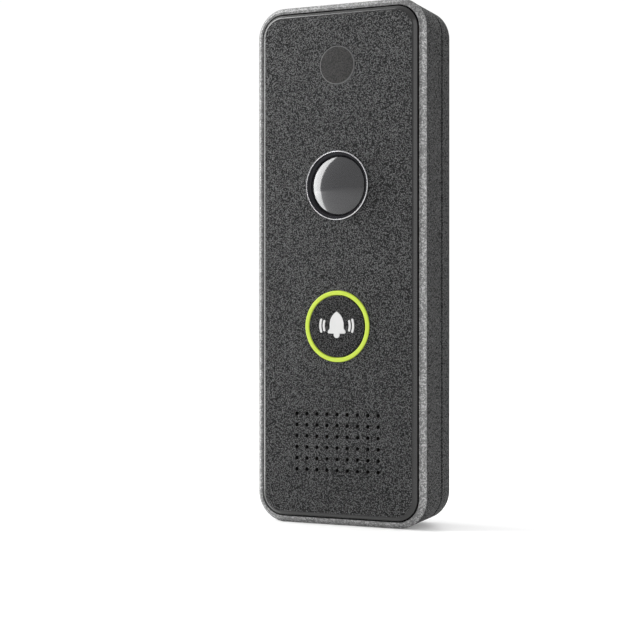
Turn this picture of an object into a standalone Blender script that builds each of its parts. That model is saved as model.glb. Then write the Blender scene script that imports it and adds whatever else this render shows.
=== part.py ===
"""Video doorbell: a slim door station that hangs on a wall bracket.

Everything is modelled as if it lay on its back: x across, y up the wall, z out from the wall. The empty
wall_plane turns that upright, so the finished doorbell faces -Y, its top points to +Z and the wall is the
plane Y = 0.
"""

import math

import bmesh
import bpy
from mathutils import Matrix, Vector

MM = 0.001

# Overall sizes
HEIGHT = 140.0 * MM
WIDTH = 50.5 * MM
DEPTH = 18.2 * MM  # wall to the front of the bezel
CORNER_RADIUS = 8.1 * MM
DRAFT = 0.9 * MM  # how much the outline shrinks from the bezel back to the wall

# Gaps
SEAM = 0.3 * MM  # between neighbouring pieces
CLOSE = 0.1 * MM  # a close fit of turned pieces
SCREW_CLEARANCE = 0.15 * MM
PARTING_GAP = 0.15 * MM  # between the bracket and the unit that slides on it

# Walls
BRACKET_DEPTH = 6.0 * MM
BRACKET_BACK = 1.8 * MM
BRACKET_WALL = 2.4 * MM
SHADOW_LINE_WIDTH = 0.45 * MM
SHADOW_LINE_DEPTH = 0.7 * MM
HOUSING_WALL = 2.0 * MM
HOUSING_LEDGE = 1.65 * MM
DECK_THICKNESS = 1.7 * MM
REAR_COVER_THICKNESS = 1.5 * MM
GASKET_THICKNESS = 1.0 * MM
GASKET_WIDTH = 1.2 * MM

# Front
BEZEL_WIDTH = 1.75 * MM
BEZEL_CHAMFER = 1.0 * MM
PANEL_PROUD = 1.2 * MM
PANEL_THICKNESS = 2.2 * MM
PANEL_BEVEL = 1.0 * MM
ADHESIVE_THICKNESS = 0.2 * MM
ADHESIVE_WIDTH = 2.4 * MM

# Places of the features up the front
WINDOW_TO_TOP = 16.7 * MM
WINDOW_TO_CAMERA = 32.2 * MM
BUTTON_TO_SPEAKER = 17.1 * MM
SPEAKER_TO_CAVITY = 4.65 * MM  # room for the microphone below the speaker

# Camera
DOME_RADIUS = 7.9 * MM
DOME_RISE = 2.3 * MM
DOME_RECESS = 0.5 * MM
DOME_WALL = 1.0 * MM
DOME_CLEARANCE = 0.2 * MM
TRIM_WALL = 0.4 * MM
TRIM_RIDGE_REACH = 0.55 * MM  # from the collar to the ridge
TRIM_LIP = 0.25 * MM
TRIM_HEIGHT = 0.5 * MM
DOME_GASKET_THICKNESS = 0.25 * MM
CAMERA_BOARD_SIDE = 18.0 * MM
SMALL_BOARD_THICKNESS = 0.8 * MM
IMAGE_SENSOR_SIDE = 6.0 * MM
IMAGE_SENSOR_THICKNESS = 0.6 * MM
SENSOR_ROOM = 0.5 * MM  # between the image sensor and the holder's wall
HOLDER_WALL = 0.7 * MM
HOLDER_HEIGHT = 3.2 * MM
HOLDER_ROOF = 1.2 * MM
HOLDER_CLEARANCE = 0.26 * MM  # at the holder's corners, in the deck
BARREL_RADIUS = 3.5 * MM
BARREL_FLANGE_REACH = 0.6 * MM
BARREL_FLANGE_THICKNESS = 0.8 * MM
BARREL_WALL = 0.8 * MM
BARREL_TO_DOME = 0.05 * MM
FRONT_LENS_DEPTH = 1.2 * MM
REAR_LENS_DEPTH = 1.6 * MM
REAR_LENS_STEP = 0.7 * MM
APERTURE_STEP = 0.7 * MM
FLEX_WIDTH = 6.0 * MM
FLEX_THICKNESS = 0.2 * MM
FLEX_REACH = 5.0 * MM

# Sensor window and the night lights behind it
SENSOR_WINDOW_RADIUS = 5.18 * MM
SENSOR_WINDOW_THICKNESS = 1.2 * MM
SENSOR_LEDGE = 0.9 * MM
SENSOR_BOARD_SIDE = 12.0 * MM
NIGHT_LED_RADIUS = 0.9 * MM
NIGHT_LED_HEIGHT = 2.4 * MM
NIGHT_LED_SPACING = 3.6 * MM
LIGHT_SENSOR_SIDE = 1.4 * MM
LIGHT_SENSOR_THICKNESS = 0.8 * MM

# Call button, its light ring and its switch
LIGHT_RING_RADIUS = 9.55 * MM
LIGHT_RING_WIDTH = 1.1 * MM
LIGHT_RING_PROUD = 0.15 * MM
LIGHT_RING_FLANGE_REACH = 1.25 * MM
LIGHT_RING_FLANGE_THICKNESS = 0.9 * MM
CAP_CLEARANCE = 0.15 * MM
CAP_THICKNESS = 1.3 * MM
CAP_PROUD = 0.2 * MM
CARRIER_INSET = 1.65 * MM
CARRIER_THICKNESS = 0.8 * MM
STEM_RADIUS = 1.6 * MM
SEAL_THICKNESS = 0.8 * MM
SWITCH_SIDE = 6.2 * MM
SWITCH_HEIGHT = 1.9 * MM
SWITCH_FLOOR = 0.4 * MM
PLUNGER_RADIUS = 1.6 * MM
PLUNGER_SHOWS = 0.4 * MM
BUTTON_TRAVEL = 0.5 * MM
RING_LED_SIDE = 1.6 * MM
RING_LED_HEIGHT = 1.0 * MM

# Bell sign
BELL_HALF_WIDTH = 2.1 * MM
BELL_SKIRT_HALF_WIDTH = 2.7 * MM
BELL_TOP = 3.95 * MM
BELL_SHOULDER = 0.4 * MM
BELL_WAIST = -0.6 * MM
BELL_BOTTOM = -1.94 * MM
CLAPPER_RADIUS = 0.87 * MM
CLAPPER_Y = -2.25 * MM
WAVE_RADII = (3.92 * MM, 4.92 * MM)
WAVE_STROKE = 0.62 * MM
WAVE_HALF_ANGLE = math.radians(21.0)
WAVE_Y = 0.18 * MM

# Speaker
GRILLE_COLUMNS = 9
GRILLE_ROWS = 6
GRILLE_PITCH_X = 3.05 * MM
GRILLE_PITCH_Y = 3.0 * MM
GRILLE_HOLE_RADIUS = 0.46 * MM
GRILLE_MARGIN = 1.0 * MM
MESH_THICKNESS = 0.2 * MM
MESH_OVERLAP = 1.0 * MM
SPEAKER_RADIUS = 14.0 * MM
SPEAKER_WALL = 1.2 * MM
SPEAKER_HEIGHT = 3.8 * MM
SPEAKER_FLOOR = 1.0 * MM
SPEAKER_GASKET_THICKNESS = 0.7 * MM
CONE_MARGIN = 0.5 * MM
CONE_WALL = 0.35 * MM
CONE_SINK = 0.7 * MM
CONE_TRAVEL = 0.3 * MM
YOKE_RADIUS = 7.1 * MM
YOKE_WALL = 0.7 * MM
YOKE_FLOOR = 1.0 * MM
YOKE_DROP = 1.6 * MM  # how far the yoke stands out behind the speaker frame
COIL_TO_YOKE = 0.3 * MM
COIL_WALL = 0.85 * MM
COIL_TO_MAGNET = 0.25 * MM
COIL_HEIGHT = 2.0 * MM
LEAD_RADIUS = 0.5 * MM
LEAD_REACH = 6.0 * MM

# Microphone
MICROPHONE_SIZE = (3.8 * MM, 1.1 * MM)
BOOT_SIZE = (6.0 * MM, 1.6 * MM)
BOOT_RIM = 0.2 * MM  # how far the boot stands out above and below the microphone
MICROPHONE_HOLE_RADIUS = 0.6 * MM

# Main board and what is soldered to it
BOARD_THICKNESS = 1.2 * MM
BOARD_MARGIN = 0.7 * MM
BOARD_TO_SPEAKER = 5.0 * MM
BOARD_SCREW_TO_CAVITY = 5.1 * MM
BOARD_SCREW_Y = 5.0 * MM
STANDOFF_RADIUS = 2.2 * MM
PROCESSOR_SIDE = 11.0 * MM
PROCESSOR_THICKNESS = 1.1 * MM
MEMORY_SIZE = (7.0 * MM, 9.0 * MM, 1.0 * MM)
SHIELD_SIZE = (14.0 * MM, 13.0 * MM, 2.0 * MM)
SHIELD_WALL = 0.25 * MM
CAPACITOR_RADIUS = 3.2 * MM
CAPACITOR_HEIGHT = 3.2 * MM
CAPACITOR_TO_DECK = 0.5 * MM
CHIPS_TO_CAVITY = 10.6 * MM
CHIPS_TO_WINDOW = 13.8 * MM
CAPACITOR_TO_BUTTON = 10.6 * MM
SIDE_ROW_TO_CAVITY = 6.6 * MM

# Terminals at the back
TERMINAL_SIZE = (15.0 * MM, 8.0 * MM)
TERMINAL_Y = 2.0 * MM
TERMINAL_TO_WALL = 3.4 * MM
TERMINAL_PITCH = 7.0 * MM
TERMINAL_SCREW_RADIUS = 1.5 * MM
TERMINAL_SCREW_LENGTH = 2.6 * MM
TERMINAL_SCREW_SINK = 0.3 * MM
WIRE_HOLE_RADIUS = 1.1 * MM
CABLE_OPENING = (20.0 * MM, 14.0 * MM)
CABLE_OPENING_Y = -12.0 * MM

# Screws
COVER_SCREW_RADIUS = 1.0 * MM
COVER_SCREW_HEAD_RADIUS = 1.9 * MM
COVER_SCREW_HEAD_HEIGHT = 0.8 * MM
COVER_SCREW_LENGTH = 5.5 * MM
COVER_BOSS_RADIUS = 2.8 * MM
BOARD_SCREW_LENGTH = 3.4 * MM
LOCK_SCREW_RADIUS = 1.0 * MM
LOCK_SCREW_HEAD_RADIUS = 1.7 * MM
LOCK_SCREW_HEAD_HEIGHT = 1.0 * MM
LOCK_SCREW_LENGTH = 6.0 * MM
LOCK_SCREW_SINK = 0.2 * MM
LOCK_PAD_THICKNESS = 0.9 * MM
LOCK_BOSS_SIZE = (7.0 * MM, 5.5 * MM)
SLOT_WIDTH = 0.5 * MM
SLOT_DEPTH = 0.4 * MM

# Hooks of the bracket, and the lift that frees the unit from them
HOOK_TO_SIDE = 11.25 * MM
HOOK_TO_TOP = 30.0 * MM
HOOK_TO_BOTTOM = 34.0 * MM
HOOK_WIDTH = 5.0 * MM
HOOK_STEM = 2.0 * MM
HOOK_LIP = 2.6 * MM
HOOK_LIP_THICKNESS = 1.2 * MM
LIFT_SPARE = 0.6 * MM

# Slots for the two wall screws
WALL_SCREW_TO_END = 14.0 * MM
WALL_SLOT_WIDTH = 4.5 * MM
WALL_SLOT_LENGTH = 9.0 * MM

# Heights above the wall, worked out from the sizes above
BOARD_TO_DECK = CLOSE + CAPACITOR_HEIGHT + CAPACITOR_TO_DECK
HOUSING_BACK = BRACKET_DEPTH + PARTING_GAP
COVER_FRONT = HOUSING_BACK + REAR_COVER_THICKNESS
LEDGE = COVER_FRONT + GASKET_THICKNESS + 2 * SEAM
PANEL_FACE = DEPTH + PANEL_PROUD
PANEL_BACK = PANEL_FACE - PANEL_THICKNESS
DECK_FRONT = PANEL_BACK - SEAM
DECK_BACK = DECK_FRONT - DECK_THICKNESS
BEZEL_BACK = DECK_FRONT + CLOSE
BOARD_FRONT = DECK_BACK - BOARD_TO_DECK
BOARD_BACK = BOARD_FRONT - BOARD_THICKNESS
ON_BOARD = BOARD_FRONT + CLOSE
LIFT = HOOK_LIP + LIFT_SPARE

# Half sizes of the outlines
OUTER = (WIDTH / 2, HEIGHT / 2)
OPENING = (OUTER[0] - BEZEL_WIDTH, OUTER[1] - BEZEL_WIDTH)
PANEL = (OPENING[0] - SEAM, OPENING[1] - SEAM)
RECESS = (OUTER[0] - HOUSING_WALL, OUTER[1] - HOUSING_WALL)
CAVITY = (RECESS[0] - HOUSING_LEDGE, RECESS[1] - HOUSING_LEDGE)
COVER = (RECESS[0] - SEAM, RECESS[1] - SEAM)
TRAY = (OUTER[0] - BRACKET_WALL, OUTER[1] - BRACKET_WALL)

# Places up the front, from the middle of the height
SENSOR_WINDOW_Y = OUTER[1] - WINDOW_TO_TOP
CAMERA_Y = SENSOR_WINDOW_Y - WINDOW_TO_CAMERA
GRILLE_Y = -CAVITY[1] + SPEAKER_TO_CAVITY + SPEAKER_RADIUS
BUTTON_Y = GRILLE_Y + SPEAKER_RADIUS + BUTTON_TO_SPEAKER

# Places on the main board and on the bracket
BOARD_SCREW_X = CAVITY[0] - BOARD_SCREW_TO_CAVITY
CHIP_ROW_X = CAVITY[0] - CHIPS_TO_CAVITY
CHIP_ROW_Y = SENSOR_WINDOW_Y - CHIPS_TO_WINDOW
CAPACITOR_Y = BUTTON_Y + CAPACITOR_TO_BUTTON
SIDE_ROW_X = CAVITY[0] - SIDE_ROW_TO_CAVITY
HOOK_X = OUTER[0] - HOOK_TO_SIDE
HOOK_ROWS_Y = (OUTER[1] - HOOK_TO_TOP, -OUTER[1] + HOOK_TO_BOTTOM)
WALL_SCREW_SPACING = HEIGHT - 2 * WALL_SCREW_TO_END

# Radii of the camera, from the dome and the barrel
TRIM_BORE_RADIUS = DOME_RADIUS + DOME_CLEARANCE
TRIM_COLLAR_RADIUS = TRIM_BORE_RADIUS + TRIM_WALL
TRIM_RIDGE_RADIUS = TRIM_COLLAR_RADIUS + TRIM_RIDGE_REACH
TRIM_RADIUS = TRIM_RIDGE_RADIUS + TRIM_LIP
DOME_SPHERE = (DOME_RADIUS**2 + DOME_RISE**2) / (2 * DOME_RISE)
HOLDER_ROOM_SIDE = max(IMAGE_SENSOR_SIDE + 2 * SENSOR_ROOM, 2 * BARREL_RADIUS)
HOLDER_SIDE = HOLDER_ROOM_SIDE + 2 * HOLDER_WALL
CAMERA_HOLE_RADIUS = HOLDER_SIDE / math.sqrt(2) + HOLDER_CLEARANCE
DOME_GASKET_INNER = CAMERA_HOLE_RADIUS + SEAM
DOME_GASKET_OUTER = TRIM_COLLAR_RADIUS - DOME_CLEARANCE
LENS_RADIUS = BARREL_RADIUS - BARREL_WALL - CLOSE
REAR_LENS_RADIUS = LENS_RADIUS - REAR_LENS_STEP
BARREL_APERTURE_RADIUS = REAR_LENS_RADIUS - APERTURE_STEP

# Radii of the call button, from the light ring
LIGHT_RING_INNER = LIGHT_RING_RADIUS - LIGHT_RING_WIDTH
LIGHT_RING_FLANGE_RADIUS = LIGHT_RING_RADIUS + LIGHT_RING_FLANGE_REACH
CAP_RADIUS = LIGHT_RING_INNER - CAP_CLEARANCE
CARRIER_RADIUS = LIGHT_RING_INNER - CARRIER_INSET

# Radii of the speaker's motor, from the yoke
COIL_OUTER = YOKE_RADIUS - YOKE_WALL - COIL_TO_YOKE
COIL_INNER = COIL_OUTER - COIL_WALL
MAGNET_RADIUS = COIL_INNER - COIL_TO_MAGNET

ROUND = 32  # sides of the large round pieces
SMALL_ROUND = 16
HOLE_SIDES = 8
CORNER_STEPS = 6
DOME_STEPS = 6


def clear_scene():
    for obj in list(bpy.data.objects):
        bpy.data.objects.remove(obj, do_unlink=True)


def new_collection(name):
    collection = bpy.data.collections.new(name)
    bpy.context.scene.collection.children.link(collection)
    return collection


clear_scene()
PARTS = new_collection("video_doorbell")
CUTTERS = new_collection("cutters")


def new_empty(name, location, parent=None):
    empty = bpy.data.objects.new(name, None)
    PARTS.objects.link(empty)
    empty.empty_display_size = 10 * MM
    empty.location = location
    empty.parent = parent
    return empty


WALL_PLANE = new_empty("wall_plane", (0, 0, 0))
WALL_PLANE.rotation_euler = (math.pi / 2, 0, 0)
UNIT = new_empty("unit_lift", (0, 0, HOUSING_BACK), WALL_PLANE)
BUTTON = new_empty("button_travel", (0, BUTTON_Y, PANEL_FACE), WALL_PLANE)
PLUNGER = new_empty("plunger_travel", (0, BUTTON_Y, BOARD_FRONT), WALL_PLANE)
CONE = new_empty("cone_travel", (0, GRILLE_Y, DECK_BACK), WALL_PLANE)


def material(name, colour, roughness, metallic=0.0):
    look = bpy.data.materials.new(name)
    look.use_nodes = True
    shader = look.node_tree.nodes["Principled BSDF"]
    shader.inputs["Base Color"].default_value = (*colour, 1.0)
    shader.inputs["Roughness"].default_value = roughness
    shader.inputs["Metallic"].default_value = metallic
    look.diffuse_color = (*colour, 1.0)
    return look


GRAPHITE = ((0.055, 0.055, 0.06), 0.55)
DARK_GREY = ((0.045, 0.045, 0.05), 0.6)
DARK_PLASTIC = ((0.02, 0.02, 0.022), 0.5)
SATIN_METAL = ((0.3, 0.3, 0.31), 0.4, 0.9)
STEEL = ((0.6, 0.6, 0.62), 0.3, 1.0)
BLACK_RUBBER = ((0.012, 0.012, 0.012), 0.8)
GREEN_BOARD = ((0.01, 0.12, 0.04), 0.5)
CHIP_BLACK = ((0.015, 0.015, 0.016), 0.45)
DARK_GLASS = ((0.01, 0.01, 0.012), 0.05)
CLEAR_GLASS = ((0.4, 0.45, 0.6), 0.03)
LIME = ((0.6, 0.8, 0.03), 0.4)
WHITE_PLASTIC = ((0.85, 0.85, 0.85), 0.45)
COPPER = ((0.85, 0.4, 0.2), 0.35, 1.0)
COPPER_FOIL = ((0.6, 0.3, 0.08), 0.4)
FOAM = ((0.03, 0.03, 0.03), 0.9)
TERMINAL_GREEN = ((0.02, 0.25, 0.1), 0.45)


def add(name, mesh, look, body):
    """A part, on the empty of the body it moves with. With no look it is a cutter, which stays hidden."""
    mesh.shade_smooth()
    mesh.set_sharp_from_angle(angle=math.radians(30))
    obj = bpy.data.objects.new(name, mesh)
    obj.parent = body
    if body is not WALL_PLANE:
        obj.matrix_parent_inverse = Matrix.Translation(-body.location)
    if look is None:
        CUTTERS.objects.link(obj)
        obj.hide_render = True
        obj.display_type = "WIRE"
    else:
        PARTS.objects.link(obj)
        mesh.materials.append(material(name, *look))
    return obj


def mesh_from(bm, name):
    mesh = bpy.data.meshes.new(name)
    bmesh.ops.recalc_face_normals(bm, faces=bm.faces)
    bm.to_mesh(mesh)
    bm.free()
    return mesh


def drafted(height):
    """How far the drafted side lies inside the bezel's outline at this height."""
    return DRAFT * (DEPTH - height) / DEPTH


def slab(name, half, low, high, look=None, body=WALL_PLANE, at=(0, 0), radius=0, chamfer=0, draft=False):
    """A block from height low to high, with rounded corners, a chamfered front edge and a drafted side."""
    bm = bmesh.new()
    bmesh.ops.create_cube(bm, size=1.0)
    bmesh.ops.scale(bm, vec=(2 * half[0], 2 * half[1], high - low), verts=bm.verts)
    bmesh.ops.translate(bm, vec=(at[0], at[1], (low + high) / 2), verts=bm.verts)
    if radius:
        uprights = [edge for edge in bm.edges if edge.verts[0].co.z != edge.verts[1].co.z]
        bmesh.ops.bevel(
            bm, geom=uprights, offset=radius, segments=CORNER_STEPS, profile=0.5, affect="EDGES"
        )
    if chamfer:
        middle = (low + high) / 2
        front = max(bm.faces, key=lambda face: face.calc_center_median().z - middle)
        bmesh.ops.bevel(bm, geom=list(front.edges), offset=chamfer, segments=1, affect="EDGES")
    if draft:
        for vert in bm.verts:
            inset = drafted(vert.co.z)
            vert.co.x *= 1 - inset / half[0]
            vert.co.y *= 1 - inset / half[1]
    return add(name, mesh_from(bm, name), look, body)


def box(name, size, corner, look=None, body=UNIT):
    """A block of this size whose corner with the lowest x, y and z is given."""
    half = (size[0] / 2, size[1] / 2)
    centre = (corner[0] + half[0], corner[1] + half[1])
    return slab(name, half, corner[2], corner[2] + size[2], look, body, at=centre)


def rods(name, radius, ends, look=None, body=UNIT, sides=SMALL_ROUND):
    """Round bars of one radius, each from a first to a second point, in one mesh."""
    bm = bmesh.new()
    for first, second in ends:
        run = Vector(second) - Vector(first)
        turn = run.to_track_quat("Z", "Y").to_matrix().to_4x4()
        middle = Matrix.Translation((Vector(first) + Vector(second)) / 2)
        bmesh.ops.create_cone(
            bm, cap_ends=True, segments=sides, radius1=radius, radius2=radius, depth=run.length,
            matrix=middle @ turn,
        )
    return add(name, mesh_from(bm, name), look, body)


def disc(name, radius, low, high, look=None, body=UNIT, at=(0, 0), sides=ROUND):
    """A round bar that stands out from the wall, from height low to high."""
    ends = [((at[0], at[1], low), (at[0], at[1], high))]
    return rods(name, radius, ends, look, body, sides)


def turned(name, profile, look=None, body=UNIT, at=(0, 0), steps=ROUND):
    """A turned piece. Its profile of (radius, height) points runs outward across the front, down the outer
    side and inward across the back. One that doesn't start on the axis is closed, which makes a ring."""
    bm = bmesh.new()
    verts = [bm.verts.new((radius, 0, height)) for radius, height in profile]
    for first, second in zip(verts, verts[1:]):
        bm.edges.new((first, second))
    if profile[0][0] > 0:
        bm.edges.new((verts[-1], verts[0]))
    mesh = bpy.data.meshes.new(name)
    bm.to_mesh(mesh)
    bm.free()
    obj = add(name, mesh, look, body)
    obj.matrix_parent_inverse = obj.matrix_parent_inverse @ Matrix.Translation((at[0], at[1], 0))
    screw = obj.modifiers.new("turn", "SCREW")
    screw.steps = steps
    screw.render_steps = steps
    screw.use_merge_vertices = True
    screw.merge_threshold = 0.005 * MM
    return obj


def ring(name, inner, outer, low, high, look=None, body=UNIT, at=(0, 0), steps=ROUND):
    return turned(name, [(inner, high), (outer, high), (outer, low), (inner, low)], look, body, at, steps)


def flat_shape(name, loops, low, high, look=None, body=UNIT, at=(0, 0)):
    """Closed outlines in x and y, filled and given a thickness."""
    curve = bpy.data.curves.new(name, "CURVE")
    curve.dimensions = "2D"
    curve.fill_mode = "BOTH"
    curve.extrude = (high - low) / 2
    for points in loops:
        spline = curve.splines.new("POLY")
        spline.points.add(len(points) - 1)
        spline.use_cyclic_u = True
        for point, (x, y) in zip(spline.points, points):
            point.co = (x, y, 0, 1)
    drawn = bpy.data.objects.new(name, curve)
    CUTTERS.objects.link(drawn)
    graph = bpy.context.evaluated_depsgraph_get()
    mesh = bpy.data.meshes.new_from_object(drawn.evaluated_get(graph))
    bpy.data.objects.remove(drawn)
    bpy.data.curves.remove(curve)
    bm = bmesh.new()
    bm.from_mesh(mesh)
    bpy.data.meshes.remove(mesh)
    bmesh.ops.remove_doubles(bm, verts=bm.verts, dist=0.001 * MM)
    bmesh.ops.translate(bm, vec=(at[0], at[1], (low + high) / 2), verts=bm.verts)
    return add(name, mesh_from(bm, name), look, body)


def combine(obj, other, operation):
    """Cuts or joins a hidden shape with a part."""
    modifier = obj.modifiers.new(other.name, "BOOLEAN")
    modifier.operation = operation
    modifier.object = other
    modifier.solver = "EXACT"


def cut(obj, *cutters):
    for cutter in cutters:
        combine(obj, cutter, "DIFFERENCE")


def join(obj, *others):
    for other in others:
        combine(obj, other, "UNION")


def arc(centre, radius, start, end, steps):
    """Points on an arc from the start angle to the end angle."""
    angles = [start + (end - start) * step / steps for step in range(steps + 1)]
    return [(centre[0] + radius * math.cos(a), centre[1] + radius * math.sin(a)) for a in angles]


def screw(name, radius, head_radius, head_height, length, seat, direction, body):
    """A pan-head screw with a straight slot. Its head stands on seat, and its shank runs along direction."""
    seat = Vector(seat)
    direction = Vector(direction)
    top = seat - direction * head_height
    obj = rods(name, head_radius, [(top, seat)], STEEL, body)
    shank = (seat - direction * head_height / 2, seat + direction * length)
    join(obj, rods(name + "_shank", radius, [shank]))
    slot = slab(name + "_slot", (head_radius * 2, SLOT_WIDTH / 2), -SLOT_DEPTH, SLOT_DEPTH)
    turn = direction.to_track_quat("Z", "Y").to_matrix().to_4x4()
    slot.data.transform(Matrix.Translation(top) @ turn)
    cut(obj, slot)
    return obj


def hook_places():
    return [(side * HOOK_X, y) for side in (-1, 1) for y in HOOK_ROWS_Y]


def hook(name, x, y):
    """An L-shaped hook on the bracket: a stem through the rear cover, and a lip that points up behind it."""
    top = COVER_FRONT + SEAM + HOOK_LIP_THICKNESS
    stem_low = BRACKET_BACK / 2
    stem = box(name, (HOOK_WIDTH, HOOK_STEM, top - stem_low), (x - HOOK_WIDTH / 2, y, stem_low))
    lip_size = (HOOK_WIDTH, HOOK_STEM / 2 + HOOK_LIP, HOOK_LIP_THICKNESS)
    lip = box(name + "_lip", lip_size, (x - HOOK_WIDTH / 2, y + HOOK_STEM / 2, COVER_FRONT + SEAM))
    return stem, lip


def lock_screw_line(depth):
    """A point on the axis of the lock screw, this far above the bottom of the bracket."""
    height = BRACKET_DEPTH * 0.7
    return Vector((0, -OUTER[1] + drafted(height) + depth, height))


def wall_screw_slots():
    slots = []
    for end in (-1, 1):
        half = (WALL_SLOT_WIDTH / 2, WALL_SLOT_LENGTH / 2)
        place = (0, end * WALL_SCREW_SPACING / 2)
        slots.append(slab("wall_slot", half, -SEAM, BRACKET_DEPTH, at=place, radius=half[0] * 0.98))
    return slots


def make_bracket():
    shoulder = BRACKET_DEPTH - SHADOW_LINE_WIDTH
    bracket = slab("wall_bracket", OUTER, 0, shoulder, DARK_GREY, radius=CORNER_RADIUS, draft=True)
    inset = drafted(BRACKET_DEPTH) + SHADOW_LINE_DEPTH
    rim = (OUTER[0] - inset, OUTER[1] - inset)
    join(bracket, slab("bracket_rim", rim, BRACKET_DEPTH / 2, BRACKET_DEPTH, radius=CORNER_RADIUS - inset))
    cut(bracket, slab("tray", TRAY, BRACKET_BACK, HOUSING_BACK, radius=CORNER_RADIUS - BRACKET_WALL))
    half_opening = (CABLE_OPENING[0] / 2, CABLE_OPENING[1] / 2)
    place = (0, CABLE_OPENING_Y)
    cut(bracket, slab("cable_opening", half_opening, -SEAM, BRACKET_DEPTH, at=place, radius=2 * MM))
    cut(bracket, *wall_screw_slots())
    for number, (x, y) in enumerate(hook_places()):
        join(bracket, *hook(f"hook_{number}", x, y))
    pad_width = LOCK_BOSS_SIZE[0] + 2 * MM
    pad_low = BRACKET_BACK / 2
    pad_size = (pad_width, BRACKET_WALL / 2 + LOCK_PAD_THICKNESS, BRACKET_DEPTH - pad_low)
    join(bracket, box("lock_pad", pad_size, (-pad_width / 2, -TRAY[1] - BRACKET_WALL / 2, pad_low)))
    head_depth = LOCK_SCREW_SINK + LOCK_SCREW_HEAD_HEIGHT + CLOSE
    pocket_ends = (lock_screw_line(-BRACKET_WALL), lock_screw_line(head_depth))
    bore_ends = (lock_screw_line(0), lock_screw_line(2 * BRACKET_WALL + LOCK_PAD_THICKNESS))
    cut(bracket, rods("lock_head_pocket", LOCK_SCREW_HEAD_RADIUS + SCREW_CLEARANCE, [pocket_ends]))
    cut(bracket, rods("lock_bore", LOCK_SCREW_RADIUS + SCREW_CLEARANCE, [bore_ends]))
    screw(
        "lock_screw", LOCK_SCREW_RADIUS, LOCK_SCREW_HEAD_RADIUS, LOCK_SCREW_HEAD_HEIGHT, LOCK_SCREW_LENGTH,
        lock_screw_line(LOCK_SCREW_SINK + LOCK_SCREW_HEAD_HEIGHT), (0, 1, 0), WALL_PLANE,
    )


def cover_screw_places():
    inset = COVER_BOSS_RADIUS + CLOSE
    return [(x * (CAVITY[0] - inset), y * (CAVITY[1] - inset)) for x in (-1, 1) for y in (-1, 1)]


def board_screw_places():
    return [(-BOARD_SCREW_X, BOARD_SCREW_Y), (BOARD_SCREW_X, BOARD_SCREW_Y)]


def speaker_opening():
    """Half sizes of the speaker's opening in the deck."""
    half_x = (GRILLE_COLUMNS - 1) / 2 * GRILLE_PITCH_X + GRILLE_HOLE_RADIUS + GRILLE_MARGIN
    half_y = (GRILLE_ROWS - 1) / 2 * GRILLE_PITCH_Y + GRILLE_HOLE_RADIUS + GRILLE_MARGIN
    return half_x, half_y


def make_housing():
    housing = slab(
        "housing", OUTER, HOUSING_BACK, DECK_FRONT, GRAPHITE, UNIT, radius=CORNER_RADIUS, draft=True
    )
    cut(housing, slab("cover_recess", RECESS, BRACKET_DEPTH, LEDGE, radius=CORNER_RADIUS - HOUSING_WALL))
    cavity_radius = CORNER_RADIUS - HOUSING_WALL - HOUSING_LEDGE
    cut(housing, slab("cavity", CAVITY, LEDGE - SEAM, DECK_BACK, radius=cavity_radius))
    for number, (x, y) in enumerate(cover_screw_places()):
        ends = [((x, y, LEDGE), (x, y, DECK_BACK + SEAM))]
        join(housing, rods(f"cover_boss_{number}", COVER_BOSS_RADIUS, ends))
    for number, (x, y) in enumerate(board_screw_places()):
        ends = [((x, y, BOARD_FRONT + SEAM), (x, y, DECK_BACK + SEAM))]
        join(housing, rods(f"standoff_{number}", STANDOFF_RADIUS, ends))
    tip = HOUSING_BACK + COVER_SCREW_LENGTH + SEAM
    bores = [((x, y, BRACKET_DEPTH), (x, y, tip)) for x, y in cover_screw_places()]
    cut(housing, rods("cover_screw_bores", COVER_SCREW_RADIUS + SCREW_CLEARANCE, bores))
    tip = BOARD_BACK + BOARD_SCREW_LENGTH + SEAM
    bores = [((x, y, BOARD_FRONT), (x, y, tip)) for x, y in board_screw_places()]
    cut(housing, rods("board_screw_bores", COVER_SCREW_RADIUS + SCREW_CLEARANCE, bores))
    low, high = DECK_BACK - SEAM, PANEL_BACK
    cut(housing, disc("camera_hole", CAMERA_HOLE_RADIUS, low, high, at=(0, CAMERA_Y)))
    window = SENSOR_WINDOW_RADIUS - SENSOR_LEDGE
    cut(housing, disc("sensor_hole", window, low, high, at=(0, SENSOR_WINDOW_Y), sides=SMALL_ROUND))
    cut(housing, disc("button_hole", LIGHT_RING_FLANGE_RADIUS + SEAM, low, high, at=(0, BUTTON_Y)))
    cut(housing, slab("speaker_hole", speaker_opening(), low, high, at=(0, GRILLE_Y), radius=2 * MM))
    port = [((0, -OUTER[1] - SEAM, microphone_height()), (0, -CAVITY[1] + SEAM, microphone_height()))]
    cut(housing, rods("microphone_port", MICROPHONE_HOLE_RADIUS, port, sides=HOLE_SIDES))


def make_bezel():
    chamfer = min(BEZEL_CHAMFER, DEPTH - BEZEL_BACK - CLOSE)
    bezel = slab("bezel", OUTER, BEZEL_BACK, DEPTH, SATIN_METAL, UNIT, radius=CORNER_RADIUS, chamfer=chamfer)
    opening_radius = CORNER_RADIUS - BEZEL_WIDTH
    cut(bezel, slab("bezel_opening", OPENING, BEZEL_BACK - SEAM, DEPTH + SEAM, radius=opening_radius))


def grille_places():
    places = []
    for column in range(GRILLE_COLUMNS):
        for row in range(GRILLE_ROWS):
            x = (column - (GRILLE_COLUMNS - 1) / 2) * GRILLE_PITCH_X
            y = GRILLE_Y + (row - (GRILLE_ROWS - 1) / 2) * GRILLE_PITCH_Y
            places.append((x, y))
    return places


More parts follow.
